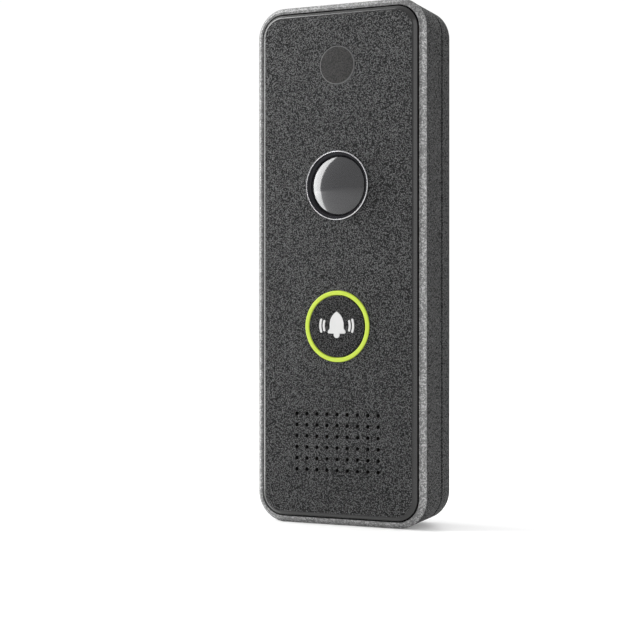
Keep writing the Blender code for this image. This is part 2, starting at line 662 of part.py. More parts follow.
def make_panel():
    panel_radius = CORNER_RADIUS - BEZEL_WIDTH - SEAM
    panel = slab(
        "front_panel", PANEL, PANEL_BACK, PANEL_FACE, GRAPHITE, UNIT, radius=panel_radius, chamfer=PANEL_BEVEL
    )
    low, high = PANEL_BACK - SEAM, PANEL_FACE + SEAM
    cut(panel, disc("trim_hole", TRIM_COLLAR_RADIUS + CLOSE, low, high, at=(0, CAMERA_Y)))
    cut(panel, disc("light_ring_hole", LIGHT_RING_RADIUS + CLOSE, low, high, at=(0, BUTTON_Y)))
    place = (0, SENSOR_WINDOW_Y)
    pocket_floor = PANEL_FACE - SENSOR_WINDOW_THICKNESS - CLOSE
    cut(panel, disc("window_pocket", SENSOR_WINDOW_RADIUS + CLOSE, pocket_floor, high, at=place))
    window = SENSOR_WINDOW_RADIUS - SENSOR_LEDGE
    cut(panel, disc("window_hole", window, low, high, at=place, sides=SMALL_ROUND))
    holes = [((x, y, low), (x, y, high)) for x, y in grille_places()]
    cut(panel, rods("grille_holes", GRILLE_HOLE_RADIUS, holes, sides=HOLE_SIDES))

    low = DECK_FRONT + (SEAM - ADHESIVE_THICKNESS) / 2
    high = low + ADHESIVE_THICKNESS
    outer = (PANEL[0] - SEAM, PANEL[1] - SEAM)
    adhesive = slab("panel_adhesive", outer, low, high, FOAM, UNIT, radius=panel_radius)
    inner = (PANEL[0] - ADHESIVE_WIDTH, PANEL[1] - ADHESIVE_WIDTH)
    inner_radius = panel_radius - ADHESIVE_WIDTH + SEAM
    cut(adhesive, slab("adhesive_window", inner, DECK_FRONT, PANEL_BACK, radius=inner_radius))


def make_dome_and_trim():
    place = (0, CAMERA_Y)
    seat = PANEL_FACE + CLOSE
    ridge = PANEL_FACE + TRIM_HEIGHT
    low = PANEL_BACK + CLOSE
    trim = [
        (TRIM_BORE_RADIUS, PANEL_FACE - DOME_RECESS),
        (TRIM_RIDGE_RADIUS - 0.15 * MM, ridge - 0.05 * MM),
        (TRIM_RIDGE_RADIUS, ridge),
        (TRIM_RADIUS, ridge - 0.2 * MM),
        (TRIM_RADIUS, seat),
        (TRIM_COLLAR_RADIUS, seat),
        (TRIM_COLLAR_RADIUS, low),
        (TRIM_BORE_RADIUS, low),
    ]
    turned("lens_trim_ring", trim, STEEL, UNIT, place)

    base = PANEL_FACE - DOME_RECESS
    half_angle = math.asin(DOME_RADIUS / DOME_SPHERE)
    centre = base + DOME_RISE - DOME_SPHERE
    outer = [(radius, centre + height) for radius, height in cap_arc(DOME_SPHERE, half_angle, DOME_STEPS)]
    inner_sphere = DOME_SPHERE - DOME_WALL
    inner_angle = math.asin((DOME_RADIUS - DOME_WALL) / inner_sphere)
    inner = [(radius, centre + height) for radius, height in cap_arc(inner_sphere, inner_angle, DOME_STEPS)]
    profile = outer + [(DOME_RADIUS, low), (DOME_RADIUS - DOME_WALL, low)] + inner[::-1]
    turned("lens_dome", profile, DARK_GLASS, UNIT, place)

    gasket_low = DECK_FRONT + (PANEL_BACK + CLOSE - DECK_FRONT - DOME_GASKET_THICKNESS) / 2
    ring(
        "dome_gasket", DOME_GASKET_INNER, DOME_GASKET_OUTER, gasket_low, gasket_low + DOME_GASKET_THICKNESS,
        BLACK_RUBBER, UNIT, place,
    )


def dome_inside(radius):
    """Height of the dome's inner side at this radius."""
    centre = PANEL_FACE - DOME_RECESS + DOME_RISE - DOME_SPHERE
    return centre + math.sqrt((DOME_SPHERE - DOME_WALL) ** 2 - radius**2)


def cap_arc(sphere, half_angle, steps):
    """(radius, height) points on a sphere, from its top down to half_angle off its axis."""
    angles = [half_angle * step / steps for step in range(steps + 1)]
    return [(sphere * math.sin(angle), sphere * math.cos(angle)) for angle in angles]


def lens_profile(radius, low, high, rise):
    """A lens, flat at the back and domed in front."""
    sphere = (radius**2 + rise**2) / (2 * rise)
    cap = cap_arc(sphere, math.asin(radius / sphere), 4)
    front = [(r, high - sphere + height) for r, height in cap]
    return front + [(radius, low), (0, low)]


def make_camera():
    place = (0, CAMERA_Y)
    board_low = ON_BOARD + SEAM
    board_high = board_low + SMALL_BOARD_THICKNESS
    half = CAMERA_BOARD_SIDE / 2
    slab("camera_board", (half, half), board_low, board_high, GREEN_BOARD, UNIT, at=place)
    sensor_low = board_high + CLOSE
    half = IMAGE_SENSOR_SIDE / 2
    sensor_high = sensor_low + IMAGE_SENSOR_THICKNESS
    slab("image_sensor", (half, half), sensor_low, sensor_high, DARK_GLASS, UNIT, at=place)

    holder_top = sensor_low + HOLDER_HEIGHT
    half = HOLDER_SIDE / 2
    holder = slab("lens_holder", (half, half), sensor_low, holder_top, DARK_PLASTIC, UNIT, at=place)
    half = HOLDER_ROOM_SIDE / 2
    roof = holder_top - HOLDER_ROOF
    cut(holder, slab("holder_room", (half, half), sensor_low - SEAM, roof, at=place))
    low, high = roof - SEAM, holder_top + SEAM
    cut(holder, disc("holder_bore", BARREL_RADIUS + CLOSE, low, high, at=place, sides=24))

    barrel_low = roof
    flange_low = holder_top + CLOSE
    flange_high = flange_low + BARREL_FLANGE_THICKNESS
    barrel_high = dome_inside(BARREL_RADIUS) - BARREL_TO_DOME
    front_seat = barrel_high - FRONT_LENS_DEPTH
    rear_seat = barrel_low + REAR_LENS_DEPTH
    barrel = [
        (LENS_RADIUS + CLOSE, barrel_high),
        (BARREL_RADIUS, barrel_high),
        (BARREL_RADIUS, flange_high),
        (BARREL_RADIUS + BARREL_FLANGE_REACH, flange_high),
        (BARREL_RADIUS + BARREL_FLANGE_REACH, flange_low),
        (BARREL_RADIUS, flange_low),
        (BARREL_RADIUS, barrel_low),
        (REAR_LENS_RADIUS + CLOSE, barrel_low),
        (REAR_LENS_RADIUS + CLOSE, rear_seat),
        (BARREL_APERTURE_RADIUS, rear_seat),
        (BARREL_APERTURE_RADIUS, front_seat),
        (LENS_RADIUS + CLOSE, front_seat),
    ]
    turned("lens_barrel", barrel, DARK_PLASTIC, UNIT, place, steps=24)
    front = lens_profile(LENS_RADIUS, front_seat + CLOSE, barrel_high, 0.7 * MM)
    turned("front_lens", front, CLEAR_GLASS, UNIT, place, steps=24)
    rear = lens_profile(REAR_LENS_RADIUS, barrel_low + CLOSE, rear_seat - CLOSE, 0.5 * MM)
    turned("rear_lens", rear, CLEAR_GLASS, UNIT, place, steps=16)

    edge = CAMERA_Y + CAMERA_BOARD_SIDE / 2 - 2 * MM
    flex_path = [
        (edge, board_high + SEAM),
        (edge + 3 * MM, board_high + SEAM),
        (edge + 3.6 * MM, ON_BOARD + SEAM),
        (edge + 3.6 * MM + FLEX_REACH, ON_BOARD + SEAM),
    ]
    ribbon("camera_flex", flex_path, FLEX_WIDTH, FLEX_THICKNESS, COPPER_FOIL)


def ribbon(name, path, width, thickness, look):
    """A flat cable along a path of (y, height) points."""
    bm = bmesh.new()
    verts = [bm.verts.new((-width / 2, y, height)) for y, height in path]
    edges = [bm.edges.new(pair) for pair in zip(verts, verts[1:])]
    swept = bmesh.ops.extrude_edge_only(bm, edges=edges)["geom"]
    moved = [item for item in swept if isinstance(item, bmesh.types.BMVert)]
    bmesh.ops.translate(bm, vec=(width, 0, 0), verts=moved)
    obj = add(name, mesh_from(bm, name), look, UNIT)
    solidify = obj.modifiers.new("thickness", "SOLIDIFY")
    solidify.thickness = thickness
    solidify.offset = 0.0
    return obj


def make_sensor_window():
    place = (0, SENSOR_WINDOW_Y)
    low = PANEL_FACE - SENSOR_WINDOW_THICKNESS
    disc("sensor_window", SENSOR_WINDOW_RADIUS, low, PANEL_FACE, DARK_GLASS, UNIT, place)
    board_low = ON_BOARD + SEAM
    board_high = board_low + SMALL_BOARD_THICKNESS
    half = SENSOR_BOARD_SIDE / 2
    slab("night_light_board", (half, half), board_low, board_high, GREEN_BOARD, UNIT, at=place)
    foot = board_high + CLOSE
    half_spacing = NIGHT_LED_SPACING / 2
    corners = [(-1, -1), (1, -1), (-1, 1), (1, 1)]
    for number, (x, y) in enumerate(corners, 1):
        spot = (x * half_spacing, SENSOR_WINDOW_Y + y * half_spacing)
        lamp = lens_profile(NIGHT_LED_RADIUS, foot, foot + NIGHT_LED_HEIGHT, NIGHT_LED_RADIUS * 0.9)
        turned(f"night_led_{number}", lamp, CLEAR_GLASS, UNIT, spot, steps=12)
    half = LIGHT_SENSOR_SIDE / 2
    slab("light_sensor", (half, half), foot, foot + LIGHT_SENSOR_THICKNESS, CHIP_BLACK, UNIT, at=place)


def bell_outline(grow):
    """A hand bell with its clapper, as one closed outline, made larger all round by grow."""
    reach = BELL_TOP - BELL_SHOULDER
    offset = (reach**2 - BELL_HALF_WIDTH**2) / (2 * BELL_HALF_WIDTH)
    radius = BELL_HALF_WIDTH + offset
    dome = arc((-offset, BELL_SHOULDER), radius, math.asin(reach / radius), 0, 5)
    clapper_start = math.asin((BELL_BOTTOM - CLAPPER_Y) / CLAPPER_RADIUS)
    clapper = arc((0, CLAPPER_Y), CLAPPER_RADIUS, clapper_start, -math.pi / 2, 4)
    skirt = [
        (BELL_HALF_WIDTH, BELL_WAIST),
        (BELL_SKIRT_HALF_WIDTH - 0.15 * MM, BELL_WAIST - 0.55 * MM),
        (BELL_SKIRT_HALF_WIDTH, BELL_BOTTOM + 0.3 * MM),
        (BELL_SKIRT_HALF_WIDTH - 0.25 * MM, BELL_BOTTOM + 0.05 * MM),
    ]
    right = dome + skirt + clapper
    left = [(-x, y) for x, y in right[-2:0:-1]]
    return grown(right + left, grow)


def grown(points, by):
    """A clockwise outline with each point moved out along the mean normal of its two sides."""
    moved = []
    for index, point in enumerate(points):
        before = Vector(points[index - 1])
        here = Vector(point)
        after = Vector(points[(index + 1) % len(points)])
        along = (here - before).normalized() + (after - here).normalized()
        along.normalize()
        moved.append((here.x - along.y * by, here.y + along.x * by))
    return moved


def wave_outline(radius, side, grow):
    """One curved stroke beside the bell."""
    half = WAVE_STROKE / 2 + grow
    reach = WAVE_HALF_ANGLE + grow / radius
    outside = arc((0, WAVE_Y), radius + half, reach, -reach, 4)
    inside = arc((0, WAVE_Y), radius - half, -reach, reach, 4)
    return [(side * x, y) for x, y in outside + inside]


def bell_sign(name, low, high, grow):
    loops = [bell_outline(grow)]
    for radius in WAVE_RADII:
        for side in (-1, 1):
            loops.append(wave_outline(radius, side, grow))
    return flat_shape(name, loops, low, high, at=(0, BUTTON_Y))


def make_button():
    place = (0, BUTTON_Y)
    ring_top = PANEL_FACE + LIGHT_RING_PROUD
    flange_high = PANEL_BACK - CLOSE
    flange_low = flange_high - LIGHT_RING_FLANGE_THICKNESS
    ring_low = ON_BOARD + RING_LED_HEIGHT + SEAM
    profile = [
        (LIGHT_RING_INNER, ring_top),
        (LIGHT_RING_RADIUS, ring_top),
        (LIGHT_RING_RADIUS, flange_high),
        (LIGHT_RING_FLANGE_RADIUS, flange_high),
        (LIGHT_RING_FLANGE_RADIUS, flange_low),
        (LIGHT_RING_RADIUS, flange_low),
        (LIGHT_RING_RADIUS, ring_low),
        (LIGHT_RING_INNER, ring_low),
    ]
    turned("light_ring", profile, LIME, UNIT, place)

    cap_top = PANEL_FACE + CAP_PROUD
    cap_low = cap_top - CAP_THICKNESS
    cap = disc("call_button", CAP_RADIUS, cap_low, cap_top, GRAPHITE, BUTTON, place)
    cut(cap, bell_sign("bell_cutout", cap_low - SEAM, cap_top + SEAM, 0.06 * MM))

    carrier_high = cap_low - CLOSE
    carrier_low = carrier_high - CARRIER_THICKNESS
    switch_top = ON_BOARD + SWITCH_HEIGHT
    stem_low = switch_top + PLUNGER_SHOWS + CLOSE
    insert = disc("bell_insert", CARRIER_RADIUS, carrier_low, carrier_high, WHITE_PLASTIC, BUTTON, place)
    join(insert, bell_sign("bell_raised", carrier_low + SEAM, cap_top, 0.0))
    join(insert, disc("button_stem", STEM_RADIUS, stem_low, carrier_low + SEAM, at=place, sides=SMALL_ROUND))

    seal_high = carrier_low - BUTTON_TRAVEL - SEAM
    ring(
        "button_seal", STEM_RADIUS + SEAM, LIGHT_RING_INNER - CLOSE, seal_high - SEAL_THICKNESS, seal_high,
        BLACK_RUBBER, UNIT, place,
    )

    half = SWITCH_SIDE / 2
    switch = slab("switch_body", (half, half), ON_BOARD, switch_top, DARK_PLASTIC, UNIT, at=place)
    floor = ON_BOARD + SWITCH_FLOOR
    cut(switch, disc("switch_bore", PLUNGER_RADIUS + CLOSE, floor, switch_top + SEAM, at=place, sides=24))
    plunger_low = floor + BUTTON_TRAVEL + CLOSE
    plunger_high = switch_top + PLUNGER_SHOWS
    disc("switch_plunger", PLUNGER_RADIUS, plunger_low, plunger_high, WHITE_PLASTIC, PLUNGER, place, sides=24)

    middle = (LIGHT_RING_INNER + LIGHT_RING_RADIUS) / 2 * math.sqrt(0.5)
    half = RING_LED_SIDE / 2
    corners = [(-1, -1), (1, -1), (-1, 1), (1, 1)]
    for number, (x, y) in enumerate(corners, 1):
        spot = (x * middle, BUTTON_Y + y * middle)
        top = ON_BOARD + RING_LED_HEIGHT
        slab(f"ring_led_{number}", (half, half), ON_BOARD, top, WHITE_PLASTIC, UNIT, at=spot)


def make_speaker():
    place = (0, GRILLE_Y)
    half_x, half_y = speaker_opening()
    low = DECK_FRONT + (SEAM - MESH_THICKNESS) / 2
    cover = (half_x + MESH_OVERLAP, half_y + MESH_OVERLAP)
    slab("speaker_mesh", cover, low, low + MESH_THICKNESS, FOAM, UNIT, at=place, radius=2 * MM)

    gasket_high = DECK_BACK - CLOSE
    gasket_low = gasket_high - SPEAKER_GASKET_THICKNESS
    frame_high = gasket_low - CLOSE
    frame_low = frame_high - SPEAKER_HEIGHT
    frame_inner = SPEAKER_RADIUS - SPEAKER_WALL
    ring("speaker_gasket", frame_inner, SPEAKER_RADIUS, gasket_low, gasket_high, FOAM, UNIT, place)
    floor = frame_low + SPEAKER_FLOOR
    frame = [
        (frame_inner, frame_high),
        (SPEAKER_RADIUS, frame_high),
        (SPEAKER_RADIUS, frame_low),
        (YOKE_RADIUS + CLOSE, frame_low),
        (YOKE_RADIUS + CLOSE, floor),
        (frame_inner, floor),
    ]
    turned("speaker_frame", frame, DARK_PLASTIC, UNIT, place)

    yoke_low = frame_low - YOKE_DROP
    yoke_floor = yoke_low + YOKE_FLOOR
    yoke_inner = YOKE_RADIUS - YOKE_WALL
    cone_edge = frame_high - CONE_TRAVEL
    cone_foot = cone_edge - CONE_SINK
    yoke_high = cone_foot - CONE_WALL - CONE_TRAVEL - SEAM
    yoke = [
        (0, yoke_floor),
        (yoke_inner, yoke_floor),
        (yoke_inner, yoke_high),
        (YOKE_RADIUS, yoke_high),
        (YOKE_RADIUS, yoke_low),
        (0, yoke_low),
    ]
    turned("speaker_yoke", yoke, STEEL, UNIT, place)
    disc("speaker_magnet", MAGNET_RADIUS, yoke_floor + CLOSE, yoke_high - SEAM, STEEL, UNIT, place, sides=32)

    cone_radius = frame_inner - CONE_MARGIN
    dome = [(radius, cone_foot + height) for radius, height in shallow_dome(COIL_OUTER, CONE_SINK)]
    cone = dome + [(cone_radius, cone_edge), (cone_radius, cone_edge - CONE_WALL)]
    cone += [(radius, height - CONE_WALL) for radius, height in dome[::-1]]
    turned("speaker_cone", cone, FOAM, CONE, place)
    coil_high = cone_foot - CONE_WALL - CLOSE
    ring("voice_coil", COIL_INNER, COIL_OUTER, coil_high - COIL_HEIGHT, coil_high, COPPER, CONE, place)

    start_y = GRILLE_Y + SPEAKER_RADIUS + SEAM
    height = BOARD_FRONT + 2 * LEAD_RADIUS
    lead = [
        (SIDE_ROW_X / 2, start_y, floor),
        (SIDE_ROW_X / 2, start_y + LEAD_REACH / 3, floor),
        (SIDE_ROW_X / 2, start_y + LEAD_REACH * 2 / 3, height),
        (SIDE_ROW_X / 2, start_y + LEAD_REACH, height),
    ]
    wire("speaker_lead", lead, LEAD_RADIUS, BLACK_RUBBER)


def shallow_dome(radius, rise):
    """(radius, height) points of a low dome that starts at its top, on the axis, and ends at height 0."""
    sphere = (radius**2 + rise**2) / (2 * rise)
    return [(r, height - sphere + rise) for r, height in cap_arc(sphere, math.asin(radius / sphere), 4)]


def wire(name, points, radius, look):
    curve = bpy.data.curves.new(name, "CURVE")
    curve.dimensions = "3D"
    curve.bevel_depth = radius
    curve.bevel_resolution = 2
    curve.use_fill_caps = True
    spline = curve.splines.new("POLY")
    spline.points.add(len(points) - 1)
    for point, place in zip(spline.points, points):
        point.co = (*place, 1)
    curve.materials.append(material(name, *look))
    obj = bpy.data.objects.new(name, curve)
    PARTS.objects.link(obj)
    obj.parent = UNIT
    obj.matrix_parent_inverse = Matrix.Translation(-UNIT.location)
    return obj


def microphone_height():
    return (BOARD_FRONT + DECK_BACK) / 2


def make_microphone():
    height = microphone_height()
    front = -CAVITY[1] + SEAM
    boot_height = BOARD_TO_DECK - 2 * SEAM
    boot_corner = (-BOOT_SIZE[0] / 2, front, height - boot_height / 2)
    boot = box("microphone_boot", (*BOOT_SIZE, boot_height), boot_corner, BLACK_RUBBER)
    channel = [((0, front - SEAM, height), (0, front + BOOT_SIZE[1] + SEAM, height))]
    cut(boot, rods("boot_channel", MICROPHONE_HOLE_RADIUS, channel, sides=HOLE_SIDES))
    can_height = boot_height - 2 * BOOT_RIM
    corner = (-MICROPHONE_SIZE[0] / 2, front + BOOT_SIZE[1] + CLOSE, height - can_height / 2)
    box("microphone", (*MICROPHONE_SIZE, can_height), corner, STEEL)


def make_main_board():
    bottom = GRILLE_Y + SPEAKER_RADIUS + BOARD_TO_SPEAKER
    top = CAVITY[1] - BOARD_MARGIN - 2 * COVER_BOSS_RADIUS
    half = (CAVITY[0] - BOARD_MARGIN, (top - bottom) / 2)
    middle = (0, (top + bottom) / 2)
    board = slab("main_board", half, BOARD_BACK, BOARD_FRONT, GREEN_BOARD, UNIT, at=middle, radius=1.5 * MM)
    holes = [((x, y, BOARD_BACK - SEAM), (x, y, BOARD_FRONT + SEAM)) for x, y in board_screw_places()]
    cut(board, rods("board_screw_holes", COVER_SCREW_RADIUS + SCREW_CLEARANCE, holes))
    for number, (x, y) in enumerate(board_screw_places(), 1):
        screw(
            f"board_screw_{number}", COVER_SCREW_RADIUS, COVER_SCREW_HEAD_RADIUS, COVER_SCREW_HEAD_HEIGHT,
            BOARD_SCREW_LENGTH, (x, y, BOARD_BACK - CLOSE), (0, 0, 1), UNIT,
        )

    half = PROCESSOR_SIDE / 2
    spot = (-CHIP_ROW_X, CHIP_ROW_Y)
    slab("processor", (half, half), ON_BOARD, ON_BOARD + PROCESSOR_THICKNESS, CHIP_BLACK, UNIT, at=spot)
    half = (MEMORY_SIZE[0] / 2, MEMORY_SIZE[1] / 2)
    spot = (-SIDE_ROW_X, CAMERA_Y)
    slab("memory_chip", half, ON_BOARD, ON_BOARD + MEMORY_SIZE[2], CHIP_BLACK, UNIT, at=spot)
    half = (SHIELD_SIZE[0] / 2, SHIELD_SIZE[1] / 2)
    inner = (half[0] - SHIELD_WALL, half[1] - SHIELD_WALL)
    spot = (CHIP_ROW_X, CHIP_ROW_Y)
    shield = slab("radio_shield", half, ON_BOARD, ON_BOARD + SHIELD_SIZE[2], STEEL, UNIT, at=spot)
    cut(shield, slab("shield_room", inner, BOARD_BACK, ON_BOARD + SHIELD_SIZE[2] - SHIELD_WALL, at=spot))
    spot = (SIDE_ROW_X, CAPACITOR_Y)
    top = ON_BOARD + CAPACITOR_HEIGHT
    disc("buffer_capacitor", CAPACITOR_RADIUS, ON_BOARD, top, STEEL, UNIT, spot, sides=24)


def make_terminals():
    half = (TERMINAL_SIZE[0] / 2, TERMINAL_SIZE[1] / 2)
    place = (0, TERMINAL_Y)
    block = slab("terminal_block", half, TERMINAL_TO_WALL, BOARD_BACK - CLOSE, TERMINAL_GREEN, UNIT, at=place)
    for number, side in enumerate((-1, 1), 1):
        x = side * TERMINAL_PITCH / 2
        spot = (x, TERMINAL_Y)
        floor = TERMINAL_TO_WALL + TERMINAL_SCREW_SINK + TERMINAL_SCREW_LENGTH + CLOSE
        bore_radius = TERMINAL_SCREW_RADIUS + CLOSE
        cut(block, disc(f"terminal_bore_{number}", bore_radius, 0, floor, at=spot, sides=24))
        entry_height = floor + WIRE_HOLE_RADIUS - SEAM
        entry = [((x, TERMINAL_Y - TERMINAL_SIZE[1], entry_height), (x, TERMINAL_Y, entry_height))]
        cut(block, rods(f"wire_entry_{number}", WIRE_HOLE_RADIUS, entry, sides=12))
        low = TERMINAL_TO_WALL + TERMINAL_SCREW_SINK
        high = low + TERMINAL_SCREW_LENGTH
        peg = disc(f"terminal_screw_{number}", TERMINAL_SCREW_RADIUS, low, high, STEEL, UNIT, spot, sides=24)
        slot_half = (TERMINAL_SCREW_RADIUS * 2, SLOT_WIDTH / 2)
        cut(peg, slab(f"terminal_slot_{number}", slot_half, 0, low + SLOT_DEPTH, at=spot))


def make_rear_cover():
    radius = CORNER_RADIUS - HOUSING_WALL - SEAM
    cover = slab("rear_cover", COVER, HOUSING_BACK, COVER_FRONT, DARK_PLASTIC, UNIT, radius=radius)
    low, high = BRACKET_DEPTH, COVER_FRONT + SEAM
    for number, (x, y) in enumerate(hook_places()):
        slot_low = y - LIFT - SEAM
        slot_size = (HOOK_WIDTH + 2 * SEAM, LIFT + HOOK_STEM + 2 * SEAM, high - low)
        cut(cover, box(f"hook_slot_{number}", slot_size, (x - slot_size[0] / 2, slot_low, low)))
    half = (TERMINAL_SIZE[0] / 2 + SEAM, TERMINAL_SIZE[1] / 2 + SEAM)
    cut(cover, slab("terminal_window", half, low, high, at=(0, TERMINAL_Y)))

    boss_floor = lock_screw_line(0).z - LOCK_SCREW_RADIUS - SCREW_CLEARANCE - 0.7 * MM
    boss_bottom = -TRAY[1] + LOCK_PAD_THICKNESS + SEAM
    boss_size = (*LOCK_BOSS_SIZE, HOUSING_BACK + SEAM - boss_floor)
    join(cover, box("lock_boss", boss_size, (-LOCK_BOSS_SIZE[0] / 2, boss_bottom, boss_floor)))
    bore = [(lock_screw_line(0), lock_screw_line(BRACKET_WALL + LOCK_PAD_THICKNESS + 2 * LOCK_BOSS_SIZE[1]))]
    cut(cover, rods("lock_boss_bore", LOCK_SCREW_RADIUS + SCREW_CLEARANCE, bore))

    head_seat = HOUSING_BACK + COVER_SCREW_HEAD_HEIGHT
    holes = [((x, y, low), (x, y, high)) for x, y in cover_screw_places()]
    pockets = [((x, y, low), (x, y, head_seat)) for x, y in cover_screw_places()]
    cut(cover, rods("cover_screw_holes", COVER_SCREW_RADIUS + SCREW_CLEARANCE, holes))
    cut(cover, rods("cover_head_pockets", COVER_SCREW_HEAD_RADIUS + SCREW_CLEARANCE, pockets))
    for number, (x, y) in enumerate(cover_screw_places(), 1):
        head_height = COVER_SCREW_HEAD_HEIGHT - CLOSE
        screw(
            f"cover_screw_{number}", COVER_SCREW_RADIUS, COVER_SCREW_HEAD_RADIUS, head_height,
            COVER_SCREW_LENGTH - COVER_SCREW_HEAD_HEIGHT, (x, y, head_seat - CLOSE / 2), (0, 0, 1), UNIT,
        )

    low = COVER_FRONT + SEAM
    outer = (COVER[0] - CLOSE, COVER[1] - CLOSE)
    gasket = slab("rear_gasket", outer, low, low + GASKET_THICKNESS, BLACK_RUBBER, UNIT, radius=radius)
    inner = (outer[0] - GASKET_WIDTH, outer[1] - GASKET_WIDTH)
    cut(gasket, slab("gasket_window", inner, COVER_FRONT, LEDGE, radius=radius - GASKET_WIDTH))


make_bracket()
make_housing()
make_bezel()
make_panel()
make_dome_and_trim()
make_camera()
make_sensor_window()
make_button()
make_speaker()
make_microphone()
make_main_board()
make_terminals()
make_rear_cover()
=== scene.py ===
"""Looks of the video doorbell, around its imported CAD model.

Points are written as the front shows them: x across, up, and out, which is the height above the wall.
"""

import math

import bmesh
import bpy
from mathutils import Matrix, Vector


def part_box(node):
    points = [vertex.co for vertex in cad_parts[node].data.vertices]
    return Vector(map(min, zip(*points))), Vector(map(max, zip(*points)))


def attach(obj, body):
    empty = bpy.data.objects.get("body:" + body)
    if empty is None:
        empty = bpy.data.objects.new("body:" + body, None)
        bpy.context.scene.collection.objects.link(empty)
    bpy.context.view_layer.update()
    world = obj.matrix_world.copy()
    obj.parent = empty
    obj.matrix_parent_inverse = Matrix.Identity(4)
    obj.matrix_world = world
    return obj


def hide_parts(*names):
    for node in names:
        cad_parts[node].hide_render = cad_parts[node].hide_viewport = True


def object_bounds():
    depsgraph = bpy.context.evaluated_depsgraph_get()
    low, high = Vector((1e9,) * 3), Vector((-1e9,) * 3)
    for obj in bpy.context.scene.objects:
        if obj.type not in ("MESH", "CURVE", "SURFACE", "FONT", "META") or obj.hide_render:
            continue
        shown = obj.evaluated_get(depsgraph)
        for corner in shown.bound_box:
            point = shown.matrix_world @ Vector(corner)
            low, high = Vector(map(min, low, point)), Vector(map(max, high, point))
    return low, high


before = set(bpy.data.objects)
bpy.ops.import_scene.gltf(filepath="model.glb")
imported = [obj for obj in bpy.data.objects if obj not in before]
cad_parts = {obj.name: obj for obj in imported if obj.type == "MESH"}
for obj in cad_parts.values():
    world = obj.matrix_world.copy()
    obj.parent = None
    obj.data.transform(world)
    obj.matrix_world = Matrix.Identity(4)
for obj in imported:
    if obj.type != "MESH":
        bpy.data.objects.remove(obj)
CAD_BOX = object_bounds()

MM = 0.001

# Sizes that no box of the frame gives
CORNER_RADIUS = 8.1 * MM
DRAFT = 0.9 * MM
SEAM = 0.3 * MM
CLOSE = 0.1 * MM
WELD = 0.0005 * MM
PARTING_GAP = 0.15 * MM
SCREW_RADIUS = 1.0 * MM
SCREW_CLEARANCE = 0.15 * MM
LOCK_SCREW_HEAD = 1.0 * MM

BRACKET_BACK = 1.8 * MM
BRACKET_WALL = 2.4 * MM
SHADOW_LINE_WIDTH = 0.45 * MM
SHADOW_LINE_DEPTH = 0.7 * MM
HOOK_X = 14.0 * MM
HOOK_ROWS = (40.0 * MM, -36.0 * MM)
HOOK_WIDTH = 5.0 * MM
HOOK_STEM = 2.0 * MM
HOOK_LIP = 2.6 * MM
HOOK_LIP_THICKNESS = 1.2 * MM
WALL_SCREW_SPACING = 112.0 * MM
WALL_SLOT_WIDTH = 4.5 * MM
WALL_SLOT_LENGTH = 9.0 * MM
CABLE_OPENING = (20.0 * MM, 14.0 * MM)
CABLE_OPENING_UP = -12.0 * MM
LOCK_PAD_WIDTH = 9.0 * MM
LOCK_PAD_THICKNESS = 0.9 * MM
SLOT_ROUNDNESS = 0.98
OPENING_CORNER = 2.0 * MM

HOUSING_WALL = 2.0 * MM
HOUSING_LEDGE = 1.65 * MM
DECK_THICKNESS = 1.7 * MM
BOSS_RADIUS = 2.8 * MM
STANDOFF_RADIUS = 2.2 * MM
CAMERA_HOLE_RADIUS = 6.2 * MM
SENSOR_LEDGE = 0.9 * MM
MESH_OVERLAP = 1.0 * MM
MICROPHONE_HOLE_RADIUS = 0.6 * MM

BEZEL_WIDTH = 1.75 * MM
BEZEL_CHAMFER = 1.0 * MM
PANEL_BEVEL = 1.0 * MM
PANEL_ROUNDING = 1.0 * MM
PANEL_SHOULDER = 0.5 * MM
PANEL_FOOT = 0.15 * MM
PANEL_FLAT = 1.5 * MM
PANEL_EDGE = 1.15 * MM
GRILLE_COLUMNS = 9
GRILLE_ROWS = 6
GRILLE_PITCH = (3.05 * MM, 3.0 * MM)
GRILLE_UP = -47.7 * MM
GRILLE_HOLE_RADIUS = 0.46 * MM
GRILLE_FLARE = 0.22 * MM

TRIM_RIDGE_RADIUS = 9.05 * MM
TRIM_BORE_RADIUS = 8.1 * MM
TRIM_COLLAR_RADIUS = 8.5 * MM
WINDOW_CHAMFER = 0.24 * MM
TRIM_SINK = 0.5 * MM
TRIM_RIDGE_LOWERED = 0.25 * MM
TRIM_RIDGE_WIDTH = 0.22 * MM
TRIM_RIDGE_FALL = 0.25 * MM
DOME_RISE = 2.3 * MM
DOME_WALL = 1.0 * MM
LIGHT_RING_WIDTH = 1.1 * MM
LIGHT_RING_SLACK = 0.05 * MM
RING_FLANGE_THICKNESS = 0.9 * MM
CAP_ROUNDING = 0.22 * MM
CARRIER_THICKNESS = 0.8 * MM
STEM_RADIUS = 1.6 * MM

BELL_HALF_WIDTH = 2.1 * MM
BELL_SKIRT_HALF_WIDTH = 2.7 * MM
BELL_TOP = 3.95 * MM
BELL_SHOULDER = 0.4 * MM
BELL_WAIST = -0.6 * MM
BELL_BOTTOM = -1.94 * MM
CLAPPER_RADIUS = 0.87 * MM
CLAPPER_UP = -2.25 * MM
WAVE_RADII = (3.92 * MM, 4.92 * MM)
WAVE_STROKE = 0.62 * MM
WAVE_HALF_ANGLE = math.radians(21.0)
WAVE_UP = 0.18 * MM
WAVE_END = 0.6
SIGN_GAP = 0.06 * MM

# Roundings of edges and of the mouths of holes
EDGE_CRISP = 0.05 * MM
EDGE_THIN = 0.08 * MM
EDGE_FINE = 0.1 * MM
EDGE_LIP = 0.12 * MM
EDGE_SOFT = 0.15 * MM
EDGE_ROUND = 0.2 * MM
EDGE_FULL = 0.3 * MM

